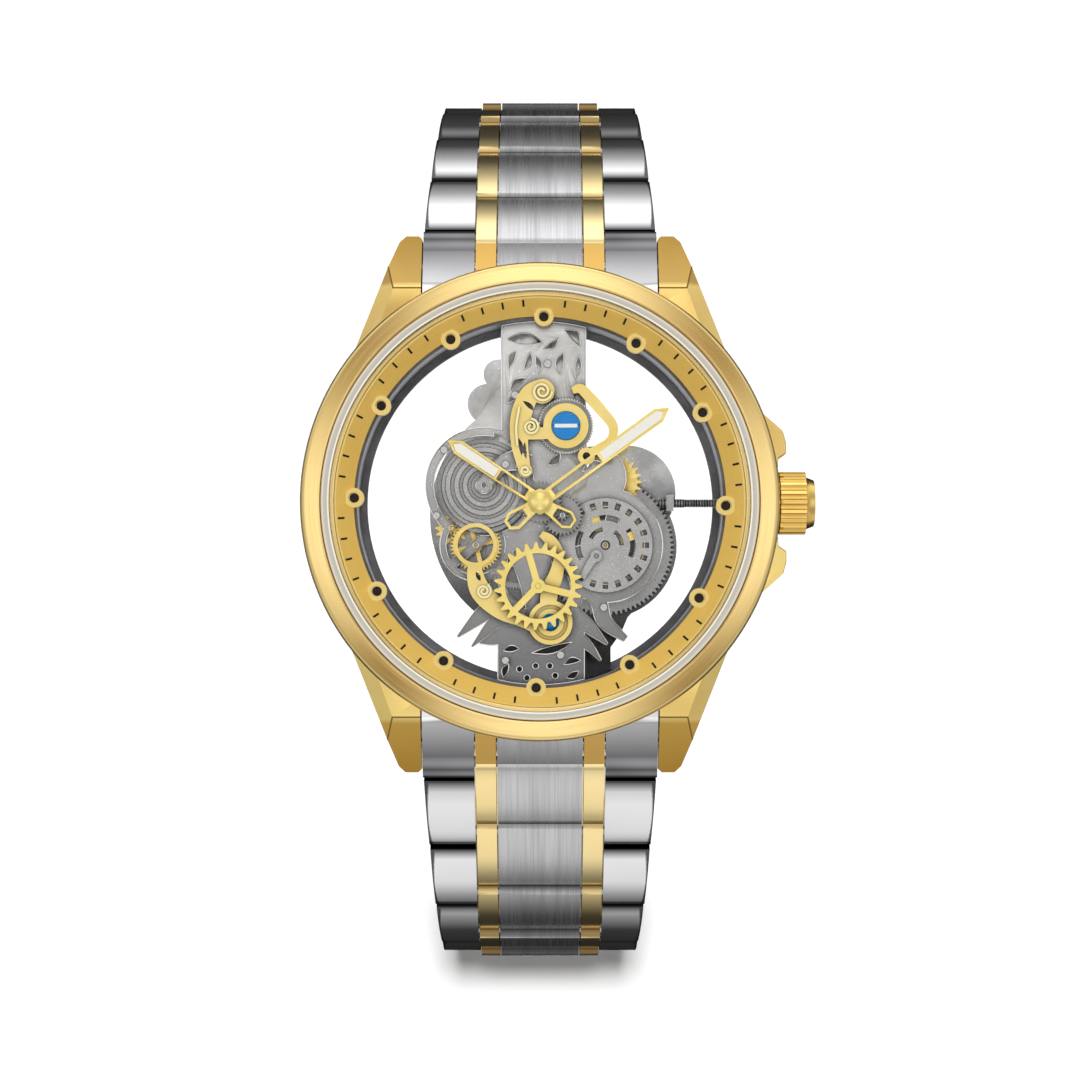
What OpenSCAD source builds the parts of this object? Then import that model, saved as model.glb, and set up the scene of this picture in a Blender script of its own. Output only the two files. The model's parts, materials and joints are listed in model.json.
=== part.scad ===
// Skeleton wristwatch: gold-toned case, openwork hand-wound movement, three-row folding-clasp bracelet.
// Millimetres. +Z rises through the dial, +Y is twelve o'clock, +X is the crown.
// The closed bracelet stands on the flat of its clasp at z = 0, under the hand axis at x = y = 0.

/* [Case] */
// Outer diameter of the bezel
case_d = 44; // [43:0.5:46]
// Height of the bezel
bezel_h = 2.2; // [2:0.1:2.6]
// Step from the edge of the bezel in to the case middle
bezel_overhang = 0.4; // [0.2:0.05:0.6]
// Height of the case middle
middle_h = 6.4; // [6.2:0.1:7]
// Radial width of the bezel outside the pale ring
bezel_w = 1.93; // [1.7:0.01:2.2]
// Radial width of the pale ring that seals the crystal
gasket_w = 0.8; // [0.6:0.05:0.9]
// Radial width of the ledge under the crystal
ledge_w = 0.3; // [0.25:0.01:0.4]
// Thickness of the front crystal
crystal_t = 1.5; // [1.3:0.1:1.7]
// Height of the crystal above the bezel
crystal_proud = 0.3; // [0:0.1:0.6]
// Radial width of the dark ring round the movement
ring_w = 2.05; // [1.9:0.05:2.3]
// Thickness of the case back
back_t = 1.3; // [1.1:0.1:1.8]
// Thickness of the clear back window
back_crystal_t = 0.9; // [0.6:0.1:1]

/* [Lugs] */
// Strap width between the lugs
lug_gap = 22; // [20:0.5:23]
// Length of a lug beyond the bezel
lug_len = 3; // [2.5:0.1:4]
// Width of a lug at its tip
lug_tip_w = 2.1; // [1.8:0.1:2.6]
// Diameter of a spring bar
spring_bar_d = 1.1; // [0.9:0.05:1.2]
// Distance of a spring bar beyond the bezel
spring_bar_out = 0.3; // [0.2:0.05:0.4]

/* [Dial ring and hands] */
// Radial width of the chapter ring
chapter_w = 1.73; // [1.5:0.01:2]
// Diameter of an hour boss
boss_d = 1.8; // [1.4:0.1:2]
// Diameter of the dark dot in an hour boss
dot_d = 1.05; // [0.7:0.05:1.2]
// Turn of the chapter ring about the hand axis
chapter_turn = -1.2; // [-3:0.1:3]
// Gap from the tip of the minute hand to the chapter ring
hand_gap = 2.4; // [1.5:0.1:3]
// Length of the hour hand from axis to tip
hour_len = 10.3; // [9.5:0.1:11.5]
// Width of the hands
hand_w = 1.42; // [1.2:0.02:1.6]
// Thickness of a hand
hand_t = 0.25; // [0.2:0.01:0.3]

/* [Crown] */
// Diameter of the crown over its flutes
crown_d = 5.84; // [5.2:0.02:6]
// Length of the crown
crown_len = 3.25; // [2.8:0.05:3.8]
// Number of crown flutes
crown_flutes = 20; // [16:1:24]
// Travel of the crown when it is pulled
crown_pull = 1; // [0.6:0.1:1.2]
// Diameter of the winding stem
stem_d = 0.8; // [0.6:0.05:0.9]

/* [Movement] */
// Thickness of the main plate
plate_t = 0.8; // [0.7:0.05:0.9]
// Thickness of the front bridge
bridge_t = 0.6; // [0.5:0.05:0.7]
// Thickness of the gold cocks
cock_t = 0.4; // [0.3:0.02:0.45]
// Thickness of the wheels
wheel_t = 0.25; // [0.18:0.01:0.28]
// Teeth of the open gold seconds wheel
seconds_teeth = 27; // [24:1:30]
// Tip diameter of the open gold seconds wheel
seconds_d = 8.1; // [7.4:0.1:8.4]
// Diameter of the balance wheel
balance_d = 8.8; // [8:0.1:9]
// Diameter of the slotted barrel bridge
barrel_bridge_d = 8.74; // [8.2:0.02:9]
// Diameter of the blued screw head
cock_screw_d = 2.6; // [2.2:0.1:2.8]

/* [Bracelet] */
// Distance of the first bracelet pin beyond the bezel
first_pin_out = 2; // [1.9:0.05:2.3]
// Depth of the first bracelet pin under the bezel face
first_pin_depth = 6.2; // [6:0.05:6.4]
// Pin to pin length of a link
pitch = 9.4; // [9:0.1:9.8]
// Thickness of a link
link_t = 3; // [2.8:0.05:3.1]
// Width of the brushed centre row
centre_w = 7.9; // [7:0.1:8.4]
// Width of a gold strip
strip_w = 1.9; // [1.5:0.05:2.2]
// Width of the bracelet at the clasp
clasp_end_w = 19.6; // [19:0.1:20.4]
// Width lost from each link to the next
taper = 0.7; // [0.4:0.05:1]
// Diameter of a link pin
pin_d = 1; // [0.8:0.05:1.1]

/* [Clasp] */
// Thickness of the clasp cover
cover_t = 1; // [0.8:0.05:1.2]
// Thickness of the folding blades
blade_t = 0.8; // [0.6:0.05:0.9]
// Diameter of the blade pins
blade_pin_d = 0.8; // [0.6:0.05:0.9]
// Diameter of a release button
button_d = 2.4; // [2:0.1:2.5]
// Inward travel of a release button
button_travel = 0.6; // [0.4:0.05:0.8]

/* [Hidden] */
$fn = 96;
// Running clearance round a turning pin
pin_play = 0.05;
// Clearance round a piece that is pressed or set in place
set_play = 0.02;
// Gap between neighbouring bracelet pieces
link_gap = 0.12;
// Gap between neighbouring movement levels
level_gap = 0.15;
// Small overlap that joins shapes of one piece
weld = 0.05;

// Radii of the case, from the edge of the bezel inwards
case_r = case_d / 2;
middle_r = case_r - bezel_overhang;
gasket_r = case_r - bezel_w;
crystal_r = gasket_r - gasket_w - set_play;
bore_r = crystal_r - ledge_w;
lip_r = bore_r - 0.05;
chapter_out_r = lip_r - set_play;
chapter_r = chapter_out_r - chapter_w;
boss_circle_r = chapter_r - 0.05;
ring_wall_r = bore_r - ring_w;
ring_flange_r = ring_wall_r - 0.7;
back_crystal_r = ring_wall_r - 0.5;
minute_len = chapter_r - hand_gap;
lug_reach = case_r + lug_len;
spring_bar_y = case_r + spring_bar_out;
first_pin_y = case_r + first_pin_out;

// Rest tilt of each link below the dial plane, from the case to the clasp
tilts_12 = [49.5, 55, 64, 77, 110, 148, 176];
tilts_6_seen = [43, 48, 61.5, 79, 112, 148];
link_count = len(tilts_12);

function sum_drop(tilts, k) = k == 0 ? 0 : sum_drop(tilts, k - 1) + pitch * sin(tilts[k - 1]);
function sum_run(tilts, k) = k == 0 ? 0 : sum_run(tilts, k - 1) + pitch * cos(tilts[k - 1]);

// The last link on the six o'clock side closes the loop level with the other side
closing_drop = sum_drop(tilts_12, link_count) - sum_drop(tilts_6_seen, link_count - 1);
tilts_6 = concat(tilts_6_seen, [180 - asin(closing_drop / pitch)]);

// Clasp heights: the cover lies under the last links
under_link_gap = 0.4;
clasp_pin_z = cover_t + under_link_gap + link_t / 2;
first_pin_z = clasp_pin_z + sum_drop(tilts_12, link_count);
dial_z = first_pin_z + first_pin_depth;
clasp_pin_12 = first_pin_y + sum_run(tilts_12, link_count);
clasp_pin_6 = first_pin_y + sum_run(tilts_6, link_count);
clasp_len = clasp_pin_12 + clasp_pin_6;

// Case back
back_seat_w = 0.6;
back_edge_r = middle_r - 0.9;

// Lugs, spring bars and crown
spring_bar_depth = first_pin_depth + 1.6;
bar_cover = 0.9;
spring_tip_d = 0.7;
spring_tip_len = 0.9;
guard_reach = 0.75;
guard_root = 9.3;
crown_gap = 0.25;
crown_start = case_r + 0.2;
crown_cap_len = 0.8;
crown_cap_d = 4.9;
stem_r = stem_d / 2;
tube_r = 1;
seal_len = 2;
stem_block_x = [11.75, 12.4];
stem_start = stem_block_x[0] - 0.65;

// Depths under the bezel face
crystal_under = crystal_t - crystal_proud;
chapter_top = crystal_under + 0.15;
chapter_under = bezel_h + 0.8;
middle_under = bezel_h + middle_h;
ring_under = middle_under - 0.3;
back_crystal_top = ring_under + 0.1;
back_seat = back_crystal_top + back_crystal_t;
back_under = middle_under + back_t;
minute_top = crystal_under + 0.75;
hour_top = minute_top + hand_t + 0.3;
seconds_top = hour_top + hand_t + 0.3;
hour_wheel_top = seconds_top;
minute_wheel_top = hour_wheel_top + wheel_t + 0.1;
cock_top = seconds_top + wheel_t + level_gap;
bridge_top = cock_top + cock_t + 0.25;
level_1 = bridge_top + bridge_t + level_gap;
level_2 = level_1 + wheel_t + level_gap;
level_3 = level_2 + wheel_t + level_gap;
drum_h = 1.1;
barrel_under = level_3 + drum_h;
plate_top = barrel_under + level_gap;
plate_under = plate_top + plate_t;
stem_depth = 5.4;

// Movement centres, seen from the dial side
barrel_pos = [6.05, -3.95];
crown_wheel_pos = [7.07, 2.03];
cock_screw_pos = [2.4, 7.1];
fourth_pos = [-5.96, -3.93];
seconds_pos = [-0.18, -7.74];
escape_pos = [-8.2, -2.35];
balance_pos = [-5.2, 1.6];
jewel_pos = [0.95, -11.1];
minute_wheel_turn = -30;

// Tooth counts of the going train, the motion work and the winding work
barrel_teeth = 84;
centre_pinion_teeth = 12;
centre_teeth = 80;
third_pinion_teeth = 10;
third_teeth = 75;
fourth_pinion_teeth = 10;
fourth_teeth = 40;
escape_pinion_teeth = 8;
escape_teeth = 15;
cannon_teeth = 10;
minute_teeth = 30;
minute_pinion_teeth = 8;
hour_teeth = 32;
crown_wheel_teeth = 22;
ratchet_teeth = 38;

function bearing(a, b) = atan2(b[1] - a[1], b[0] - a[0]);
function turned(v, a) = [v[0] * cos(a) - v[1] * sin(a), v[0] * sin(a) + v[1] * cos(a)];
function gear_module(a, b, teeth_a, teeth_b) = 2 * norm(b - a) / (teeth_a + teeth_b);

// The third wheel stands clear of the line between the two wheels that it drives
third_offset = 1.5;
third_pos = (fourth_pos + seconds_pos) / 2
    + third_offset * turned((seconds_pos - fourth_pos) / norm(seconds_pos - fourth_pos), 90);
motion_distance = 2.4;
minute_wheel_pos = motion_distance * [cos(minute_wheel_turn), sin(minute_wheel_turn)];
pallet_pos = escape_pos + [1.35, 1.5];

// Gear modules, each from its centre distance
barrel_m = gear_module(barrel_pos, [0, 0], barrel_teeth, centre_pinion_teeth);
centre_m = gear_module([0, 0], third_pos, centre_teeth, third_pinion_teeth);
third_m = gear_module(third_pos, fourth_pos, third_teeth, fourth_pinion_teeth);
fourth_m = gear_module(fourth_pos, escape_pos, fourth_teeth, escape_pinion_teeth);
cannon_m = gear_module([0, 0], minute_wheel_pos, cannon_teeth, minute_teeth);
hour_m = gear_module([0, 0], minute_wheel_pos, hour_teeth, minute_pinion_teeth);
winding_m = gear_module(crown_wheel_pos, barrel_pos, crown_wheel_teeth, ratchet_teeth);

// Arbors and studs that the wheels turn on
arbor_r = 0.2;
centre_arbor_r = 0.3;
barrel_arbor_r = 0.6;
pivot_play = 0.05;
pivot_depth = 0.3;
stud_r = 0.4;
hairspring_r = 2.3;
hairspring_w = 0.06;
hairspring_h = 0.35;
hairspring_top = plate_top - 0.7;
hairspring_stud_r = 0.25;

// Openings and seats of the front bridge
balance_window_r = balance_d / 2 + 0.25;
balance_arm_end = [balance_pos[0], balance_pos[1], 0.6];
fourth_window_r = 2.75;
fourth_bar_w = 0.8;
knurl_d = 5;
knurl_teeth = 60;
cock_seat = 0.25;
cock_screw_shank_r = 0.7;
cock_ring_r = 2.1;
fourth_ring_r = 2.02;
fourth_ring_w = 0.38;
jewel_ring_r = 2.05;
jewel_d = 1.6;

// Colours seen on the watch
gold = [0.88, 0.69, 0.27];
steel = [0.72, 0.73, 0.75];
dark_steel = [0.36, 0.36, 0.38];
clear = [0.85, 0.92, 0.95, 0.35];
blued = [0.05, 0.35, 0.75];

// A flat shape between two depths under the bezel face
module slab(from, to)
    translate([0, 0, dial_z - to])
        linear_extrude(to - from)
            children();

// A turned ring, from points of radius and depth
module turned_ring(points)
    translate([0, 0, dial_z])
        rotate_extrude()
            polygon([for (p = points) [p[0], -p[1]]]);

// A side outline in y and z, drawn across the watch between two x values
module across(from, to)
    translate([from, 0, 0])
        rotate([90, 0, 90])
            linear_extrude(to - from)
                children();

function gear_points(teeth, m) = [
    for (i = [0 : teeth - 1])
        for (corner = [[-0.31, -1.15], [-0.13, 0.9], [0.13, 0.9], [0.31, -1.15]])
            let (a = (i + corner[0]) * 360 / teeth, r = teeth * m / 2 + corner[1] * m)
                [r * cos(a), r * sin(a)]
];

// A gear with one tooth centred on the angle given
module gear_at(teeth, m, tooth_angle)
    rotate(tooth_angle)
        polygon(gear_points(teeth, m));

// A gear with one gap centred on the angle given
module gear_gap_at(teeth, m, gap_angle)
    gear_at(teeth, m, gap_angle + 180 / teeth);

// Windows between spokes, cut from a wheel
module spoke_windows(rim_r, hub_r, spokes, spoke_w, turn)
    difference() {
        circle(rim_r);
        circle(hub_r);
        for (i = [0 : spokes - 1])
            rotate(turn + i * 360 / spokes)
                translate([0, -spoke_w / 2])
                    square([rim_r + weld, spoke_w]);
    }

// A point of a smooth curve through p1 and p2
function smooth(p0, p1, p2, p3, t) =
    (2 * p1 + (p2 - p0) * t + (2 * p0 - 5 * p1 + 4 * p2 - p3) * t * t
        + (3 * p1 - p0 - 3 * p2 + p3) * t * t * t) / 2;
function smooth_path(p, n) = concat(
    [for (i = [0 : len(p) - 2]) for (j = [0 : n - 1])
        smooth(p[max(i - 1, 0)], p[i], p[i + 1], p[min(i + 2, len(p) - 1)], j / n)],
    [p[len(p) - 1]]
);
function side_step(path, i) =
    let (a = path[max(i - 1, 0)], b = path[min(i + 1, len(path) - 1)], d = [b[0] - a[0], b[1] - a[1]])
        [-d[1], d[0]] / norm(d) * path[i][2];

// A curved band through hand-chosen points of x, y and half width
module ribbon(points, steps = 6) {
    path = smooth_path(points, steps);
    last = len(path) - 1;
    polygon(concat(
        [for (i = [0 : last]) [path[i][0], path[i][1]] + side_step(path, i)],
        [for (i = [last : -1 : 0]) [path[i][0], path[i][1]] - side_step(path, i)]
    ));
}

// A pointed leaf between two points
module leaf(a, b, half_w, bend = 0) {
    along = b - a;
    across = turned(along / norm(along), 90);
    steps = 8;
    polygon(concat(
        [for (i = [0 : steps])
            a + along * i / steps + across * (bend + half_w) * sin(180 * i / steps)],
        [for (i = [steps - 1 : -1 : 1])
            a + along * i / steps + across * (bend - half_w) * sin(180 * i / steps)]
    ));
}

// A flat scroll that winds out from its middle
module scroll(centre, from_r, to_r, start, turns, half_w) {
    steps = 10 * turns;
    points = [for (i = [0 : steps])
        let (a = start + 360 * turns * i / steps, r = from_r + (to_r - from_r) * i / steps)
            [centre[0] + r * cos(a), centre[1] + r * sin(a), half_w]];
    ribbon(points, 2);
}

// Case

// Side outline of a lug, from the bezel down to its tip
module lug_side() {
    tip_face = [[first_pin_y - 4.2, 2.5], [lug_reach, 5.6], [lug_reach, 8.2], [lug_reach - 1.4, 9.2]];
    outline = concat([[bore_r / 2, bezel_h]], tip_face, [[bore_r / 2, middle_under]]);
    polygon([for (p = outline) [p[0], -p[1]]]);
}

module lug() {
    root_x = middle_r * cos(33);
    root_y = middle_r * sin(33);
    tip_x = lug_gap / 2 + lug_tip_w;
    side_angle = atan2(lug_reach - 0.6 - root_y, tip_x - root_x);
    chamfer = 1.1;
    difference() {
        intersection() {
            translate([0, 0, dial_z])
                across(lug_gap / 2, case_r)
                    lug_side();
            slab(0, middle_under + 3)
                polygon([[lug_gap / 2, bore_r / 2], [lug_gap / 2, lug_reach - 0.3],
                         [lug_gap / 2 + 0.3, lug_reach], [tip_x - 0.6, lug_reach],
                         [tip_x, lug_reach - 0.6], [root_x, root_y], [bore_r, bore_r / 2]]);
        }
        translate([root_x, root_y, dial_z - bezel_h])
            rotate([0, 0, side_angle])
                rotate([45, 0, 0])
                    cube([2 * lug_reach, chamfer * 2, chamfer * 2], center = true);
        translate([0, spring_bar_y, dial_z - spring_bar_depth])
            rotate([0, 90, 0])
                cylinder(d = spring_tip_d + 2 * set_play, h = lug_gap / 2 + spring_tip_len + set_play);
    }
}

module crown_guard()
    slab(bezel_h + 1, middle_under - 1)
        polygon([[bore_r - 1, guard_root], [middle_r * cos(26), guard_root],
                 [case_r + guard_reach * 0.6, 6.6],
                 [case_r + guard_reach, 5.5], [case_r + guard_reach, 4.5], [case_r, 4],
                 [case_r, crown_d / 2 + crown_gap], [bore_r - 1, crown_d / 2 + crown_gap]]);

module case_body()
    color(gold)
        difference() {
            union() {
                turned_ring([[bore_r - 1, bezel_h], [middle_r - 0.3, bezel_h],
                             [middle_r, bezel_h + 0.5], [middle_r, middle_under - 1.2],
                             [middle_r - 0.8, middle_under], [bore_r - 1, middle_under]]);
                for (sx = [0, 1], sy = [0, 1])
                    mirror([sx, 0, 0]) mirror([0, sy, 0]) lug();
                for (sy = [0, 1])
                    mirror([0, sy, 0]) crown_guard();
            }
            slab(bezel_h - 1, middle_under + 1)
                circle(bore_r);
            slab(middle_under, back_under)
                circle(back_edge_r + set_play);
            translate([0, 0, dial_z - stem_depth])
                rotate([0, 90, 0])
                    cylinder(r = tube_r + set_play, h = case_d);
        }

module bezel()
    color(gold)
        turned_ring([[gasket_r + set_play, 0.1], [gasket_r + 0.2, 0],
                     [case_r - 0.5, 0.15], [case_r, 0.7],
                     [case_r, bezel_h - 0.3], [case_r - 0.3, bezel_h],
                     [lip_r, bezel_h], [lip_r, crystal_under], [gasket_r + set_play, crystal_under]]);

module crystal()
    color(clear)
        turned_ring([[0, -crystal_proud], [crystal_r - 0.35, -crystal_proud],
                     [crystal_r, 0.35 - crystal_proud], [crystal_r, crystal_under], [0, crystal_under]]);

module crystal_gasket()
    color([0.93, 0.92, 0.88])
        turned_ring([[crystal_r + set_play, 0], [gasket_r - 0.1, 0], [gasket_r, 0.1],
                     [gasket_r, crystal_under], [crystal_r + set_play, crystal_under]]);

module chapter_ring() {
    boss_top = chapter_under - 1;
    dot_depth = 0.35;
    color(gold)
        rotate(chapter_turn)
            difference() {
                union() {
                    turned_ring([[chapter_r, chapter_under - 0.45],
                                 [chapter_out_r - 0.15, chapter_top], [chapter_out_r, chapter_top],
                                 [chapter_out_r, chapter_under], [chapter_r, chapter_under]]);
                    for (i = [0 : 11])
                        rotate(i * 30)
                            translate([boss_circle_r, 0])
                                slab(boss_top, chapter_under)
                                    circle(d = boss_d);
                }
                for (i = [0 : 11])
                    rotate(i * 30)
                        translate([boss_circle_r, 0])
                            slab(boss_top - 1, boss_top + dot_depth)
                                circle(d = dot_d);
            }
}

module movement_ring()
    color(dark_steel)
        difference() {
            turned_ring([[ring_wall_r, chapter_under], [bore_r - set_play, chapter_under],
                         [bore_r - set_play, ring_under], [ring_flange_r, ring_under],
                         [ring_flange_r, plate_under], [ring_wall_r, plate_under]]);
            translate([0, 0, dial_z - stem_depth])
                rotate([0, 90, 0])
                    cylinder(r = stem_r + 0.2, h = case_d);
        }

module case_back()
    color(steel)
        turned_ring([[back_crystal_r + set_play, ring_under], [bore_r - set_play, ring_under],
                     [bore_r - set_play, middle_under], [back_edge_r, middle_under],
                     [back_edge_r, back_under - 0.4], [back_edge_r - 0.6, back_under],
                     [back_crystal_r - back_seat_w, back_under],
                     [back_crystal_r - back_seat_w, back_seat], [back_crystal_r + set_play, back_seat]]);

module back_crystal()
    color(clear)
        slab(back_crystal_top, back_seat)
            circle(back_crystal_r);

module spring_bars()
    color(steel)
        for (sy = [-1, 1])
            translate([0, sy * spring_bar_y, dial_z - spring_bar_depth])
                rotate([0, 90, 0]) {
                    cylinder(d = spring_bar_d, h = lug_gap - 0.4, center = true);
                    cylinder(d = spring_tip_d, h = lug_gap + 2 * spring_tip_len, center = true);
                }

// Crown

// Carries its children along the stem axis, with x as their height
module along_stem()
    translate([0, 0, dial_z - stem_depth])
        rotate([0, 90, 0])
            children();

module crown() {
    flute_r = 0.3;
    color(gold)
        along_stem()
            difference() {
                union() {
                    translate([0, 0, crown_start])
                        linear_extrude(crown_len - crown_cap_len)
                            difference() {
                                circle(d = crown_d);
                                for (i = [0 : crown_flutes - 1])
                                    rotate((i + 0.5) * 360 / crown_flutes)
                                        translate([crown_d / 2 + flute_r * 0.2, 0])
                                            circle(flute_r, $fn = 24);
                            }
                    translate([0, 0, crown_start + crown_len - crown_cap_len])
                        cylinder(d1 = crown_cap_d, d2 = crown_cap_d - 0.6, h = crown_cap_len);
                }
                translate([0, 0, crown_start - 1])
                    cylinder(r = stem_r + set_play, h = 2);
            }
}

module stem() {
    thread_pitch = 0.2;
    thread_depth = 0.07;
    thread_from = stem_block_x[1] + crown_pull;
    thread_to = ring_wall_r + 1;
    turns = floor((thread_to - thread_from) / thread_pitch);
    stem_end = crown_start + 1 - set_play;
    color(dark_steel)
        along_stem()
            rotate_extrude($fn = 24)
                polygon(concat(
                    [[0, stem_start], [stem_r, stem_start], [stem_r, thread_from]],
                    [for (i = [0 : turns - 1]) for (h = [0, 0.5])
                        [stem_r - (h == 0 ? thread_depth : 0),
                         thread_from + (i + h + 0.25) * thread_pitch]],
                    [[stem_r, thread_to + thread_pitch], [stem_r, stem_end], [0, stem_end]]
                ));
}

module crown_gasket()
    color([0.12, 0.12, 0.12])
        along_stem()
            translate([0, 0, bore_r + 0.4])
                difference() {
                    cylinder(r = tube_r - 0.03, h = seal_len);
                    translate([0, 0, -1])
                        cylinder(r = stem_r + 0.03, h = seal_len + 2);
                }

// Movement plates

// A round hole or foot at a movement centre
module spot(pos, r)
    translate(pos)
        circle(r);

module main_plate_shape() {
    lobe_pos = [1.4, -1.1];
    lobe_r = 11.7;
    strip_end = ring_wall_r - pivot_play;
    intersection() {
        union() {
            intersection() {
                spot(lobe_pos, lobe_r);
                translate([lobe_pos[0] - lobe_r, -10.6])
                    square([lobe_r + 3, 18.6]);
            }
            spot(barrel_pos, 6.75);
            spot([8.2, 1], 4.5);
            translate([-3.7, 4])
                square([8, strip_end]);
            translate([-4, -strip_end])
                square([10.6, 8]);
            spot([-4.9, 9.4], 1.9);
            spot([-3.9, 12.2], 1.4);
            polygon([[2, -9], [9.4, -9.3], [8.2, -10.6], [7.6, -12], [6.6, -13.4], [2, -13.4]]);
        }
        circle(strip_end);
    }
}

// Centres that turn in the main plate
plate_pivots = [barrel_pos, [0, 0], third_pos, fourth_pos,
                seconds_pos, escape_pos, pallet_pos, balance_pos];
stud_pos = balance_pos + [hairspring_r + hairspring_w + hairspring_stud_r + set_play, 0];

// Pillars that carry the front bridge
wall_step = ring_wall_r - 16.9;
function near_wall(p) = p + [0, sign(p[1]) * wall_step];
pillar_pos = [for (p = [[0.3, 15], [-2.2, 12.6], [-1, -15.2], [2.8, -14]]) near_wall(p)];
pillar_r = 0.6;

module main_plate()
    color(dark_steel)
        difference() {
            union() {
                slab(plate_top, plate_under)
                    main_plate_shape();
                slab(bridge_top + bridge_t, plate_top + weld)
                    for (p = pillar_pos) spot(p, pillar_r);
                slab(hairspring_top, plate_top + weld)
                    spot(stud_pos, hairspring_stud_r);
                slab(stem_depth - stem_r - 0.3, plate_top + weld)
                    translate([stem_block_x[0], -stem_r - 0.35])
                        square([stem_block_x[1] - stem_block_x[0], 2 * stem_r + 0.7]);
            }
            for (p = plate_pivots)
                slab(plate_top - 1, plate_top + pivot_depth + pivot_play)
                    spot(p, arbor_r + pivot_play);
            along_stem()
                cylinder(r = stem_r + pin_play, h = case_d);
        }

// Openwork of the front bridge: leaf cuts of x1, y1, x2, y2, half width and bend
strip_leaves = [
    [-3, 15.2, 0.2, 14.9, 0.55, 0.2], [2.3, 16.1, 3.7, 14.6, 0.4, 0.3], [0.4, 14.3, 1.7, 15.2, 0.25, -0.15],
    [-2.9, 12.6, -2.2, 14.1, 0.3, 0.1], [-1.5, 12.4, -0.9, 14, 0.3, -0.2],
    [-0.2, 11.9, -0.4, 13.6, 0.3, -0.2],
    [1.9, 11.9, 2.2, 13.9, 0.4, 0.25], [3.3, 11.6, 3.6, 13.7, 0.3, -0.1], [-2.8, 10.4, -1.3, 11.6, 0.3, 0.2],
    [-3.1, 9.2, -1.6, 9.9, 0.25, 0.2]
];
foot_leaves = [
    [-3.4, -16.2, -2.9, -14.9, 0.3, 0.1], [2.2, -15, 3.8, -14.6, 0.3, 0.2],
    [2.4, -16.2, 3.6, -15.6, 0.3, -0.1],
    [-0.8, -13.9, 3, -12.9, 0.35, -0.2], [-3.4, -13.7, -1.9, -13.5, 0.3, 0.1]
];
foot_dots = [[-1.9, -15.4], [-0.4, -15.1], [0.9, -15.1], [1.4, -16], [-1.2, -16.2]];
body_leaves = [
    [-4.9, 8.4, -3.6, 7.1, 0.45, 0.2], [-4.3, 6.6, -3.2, 5.7, 0.35, -0.2], [3.9, 2.9, 6, 3.6, 0.4, 0.3],
    [-2.9, -5, -1.3, -9.9, 0.7, -0.5], [1.1, -5.4, 2.1, -10, 0.6, 0.6], [-4.3, -6.4, -3.4, -9, 0.45, -0.4],
    [-2.2, 3.2, -0.7, 4.4, 0.4, 0.3], [0.7, 3.5, 1.9, 4.6, 0.35, -0.2]
];

// Curved horns of the bridge: points of x, y and half width
horns = [
    [[-3.2, -8.6, 0.9], [-5.4, -10.4, 0.7], [-7.6, -12.4, 0.08]],
    [[-3, -9.8, 0.7], [-4.7, -11.6, 0.5], [-6.3, -13.3, 0.06]],
    [[-2.4, -11.6, 0.9], [-4.2, -12.6, 0.6], [-5.6, -13, 0.06]],
    [[3.4, -7.4, 0.7], [5.3, -9, 0.75], [6, -11, 0.7], [7.9, -12.6, 0.3]],
    [[2.6, -9.9, 0.7], [4.4, -11.4, 0.65], [6.2, -13.1, 0.1]],
    [[2.4, -12, 0.8], [4.2, -13, 0.5], [5.6, -14.6, 0.08]]
];

module leaves(list)
    for (l = list)
        leaf([l[0], l[1]], [l[2], l[3]], l[4], l[5]);

module front_bridge_shape() {
    strip_end = ring_wall_r - pivot_play;
    difference() {
        intersection() {
            union() {
                translate([-3.55, 5])
                    square([7.8, strip_end]);
                spot(balance_pos, balance_window_r + 0.75);
                spot([0, 1], 5.2);
                spot(barrel_pos, 5.3);
                spot(crown_wheel_pos + [-2, 0.3], 2.9);
                spot(fourth_pos, fourth_window_r + 0.55);
                spot([-0.6, -7.6], 4.7);
                translate([-3.9, -strip_end])
                    square([8, 6.5]);
                for (h = horns)
                    ribbon(h);
            }
            circle(strip_end);
        }
        difference() {
            spot(balance_pos, balance_window_r);
            ribbon([[-0.6, 4.2, 1.2], [-3.4, 3.6, 0.75], balance_arm_end]);
            spot(balance_pos, 0.75);
        }
        difference() {
            spot(fourth_pos, fourth_window_r);
            translate(fourth_pos)
                rotate(40)
                    square([2 * fourth_window_r + 1, fourth_bar_w], center = true);
        }
        translate(barrel_pos)
            spoke_windows(3.6, 1.5, 3, 1.2, 75);
        leaves(strip_leaves);
        leaves(foot_leaves);
        leaves(body_leaves);
        for (d = foot_dots)
            spot(d, 0.28);
    }
}

// Centres that turn in the front bridge
bridge_pivots = [barrel_pos, third_pos, fourth_pos, seconds_pos, escape_pos, balance_pos];

module front_bridge()
    color(steel)
        difference() {
            union() {
                slab(bridge_top, bridge_top + bridge_t)
                    front_bridge_shape();
                slab(bridge_top - cock_seat, bridge_top + weld)
                    translate(cock_screw_pos)
                        polygon(gear_points(knurl_teeth, knurl_d / knurl_teeth));
                slab(bridge_top + bridge_t - weld, level_1 + wheel_t + 0.1)
                    spot(crown_wheel_pos, stud_r);
                slab(minute_wheel_top - wheel_t - 0.15, bridge_top + weld)
                    spot(minute_wheel_pos, stud_r / 2);
            }
            slab(bridge_top - 1, bridge_top + bridge_t + 1) {
                for (p = bridge_pivots)
                    spot(p, arbor_r + pivot_play);
                spot([0, 0], centre_arbor_r + pivot_play);
                spot(cock_screw_pos, cock_screw_shank_r + set_play);
            }
        }

// Gold cocks

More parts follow.
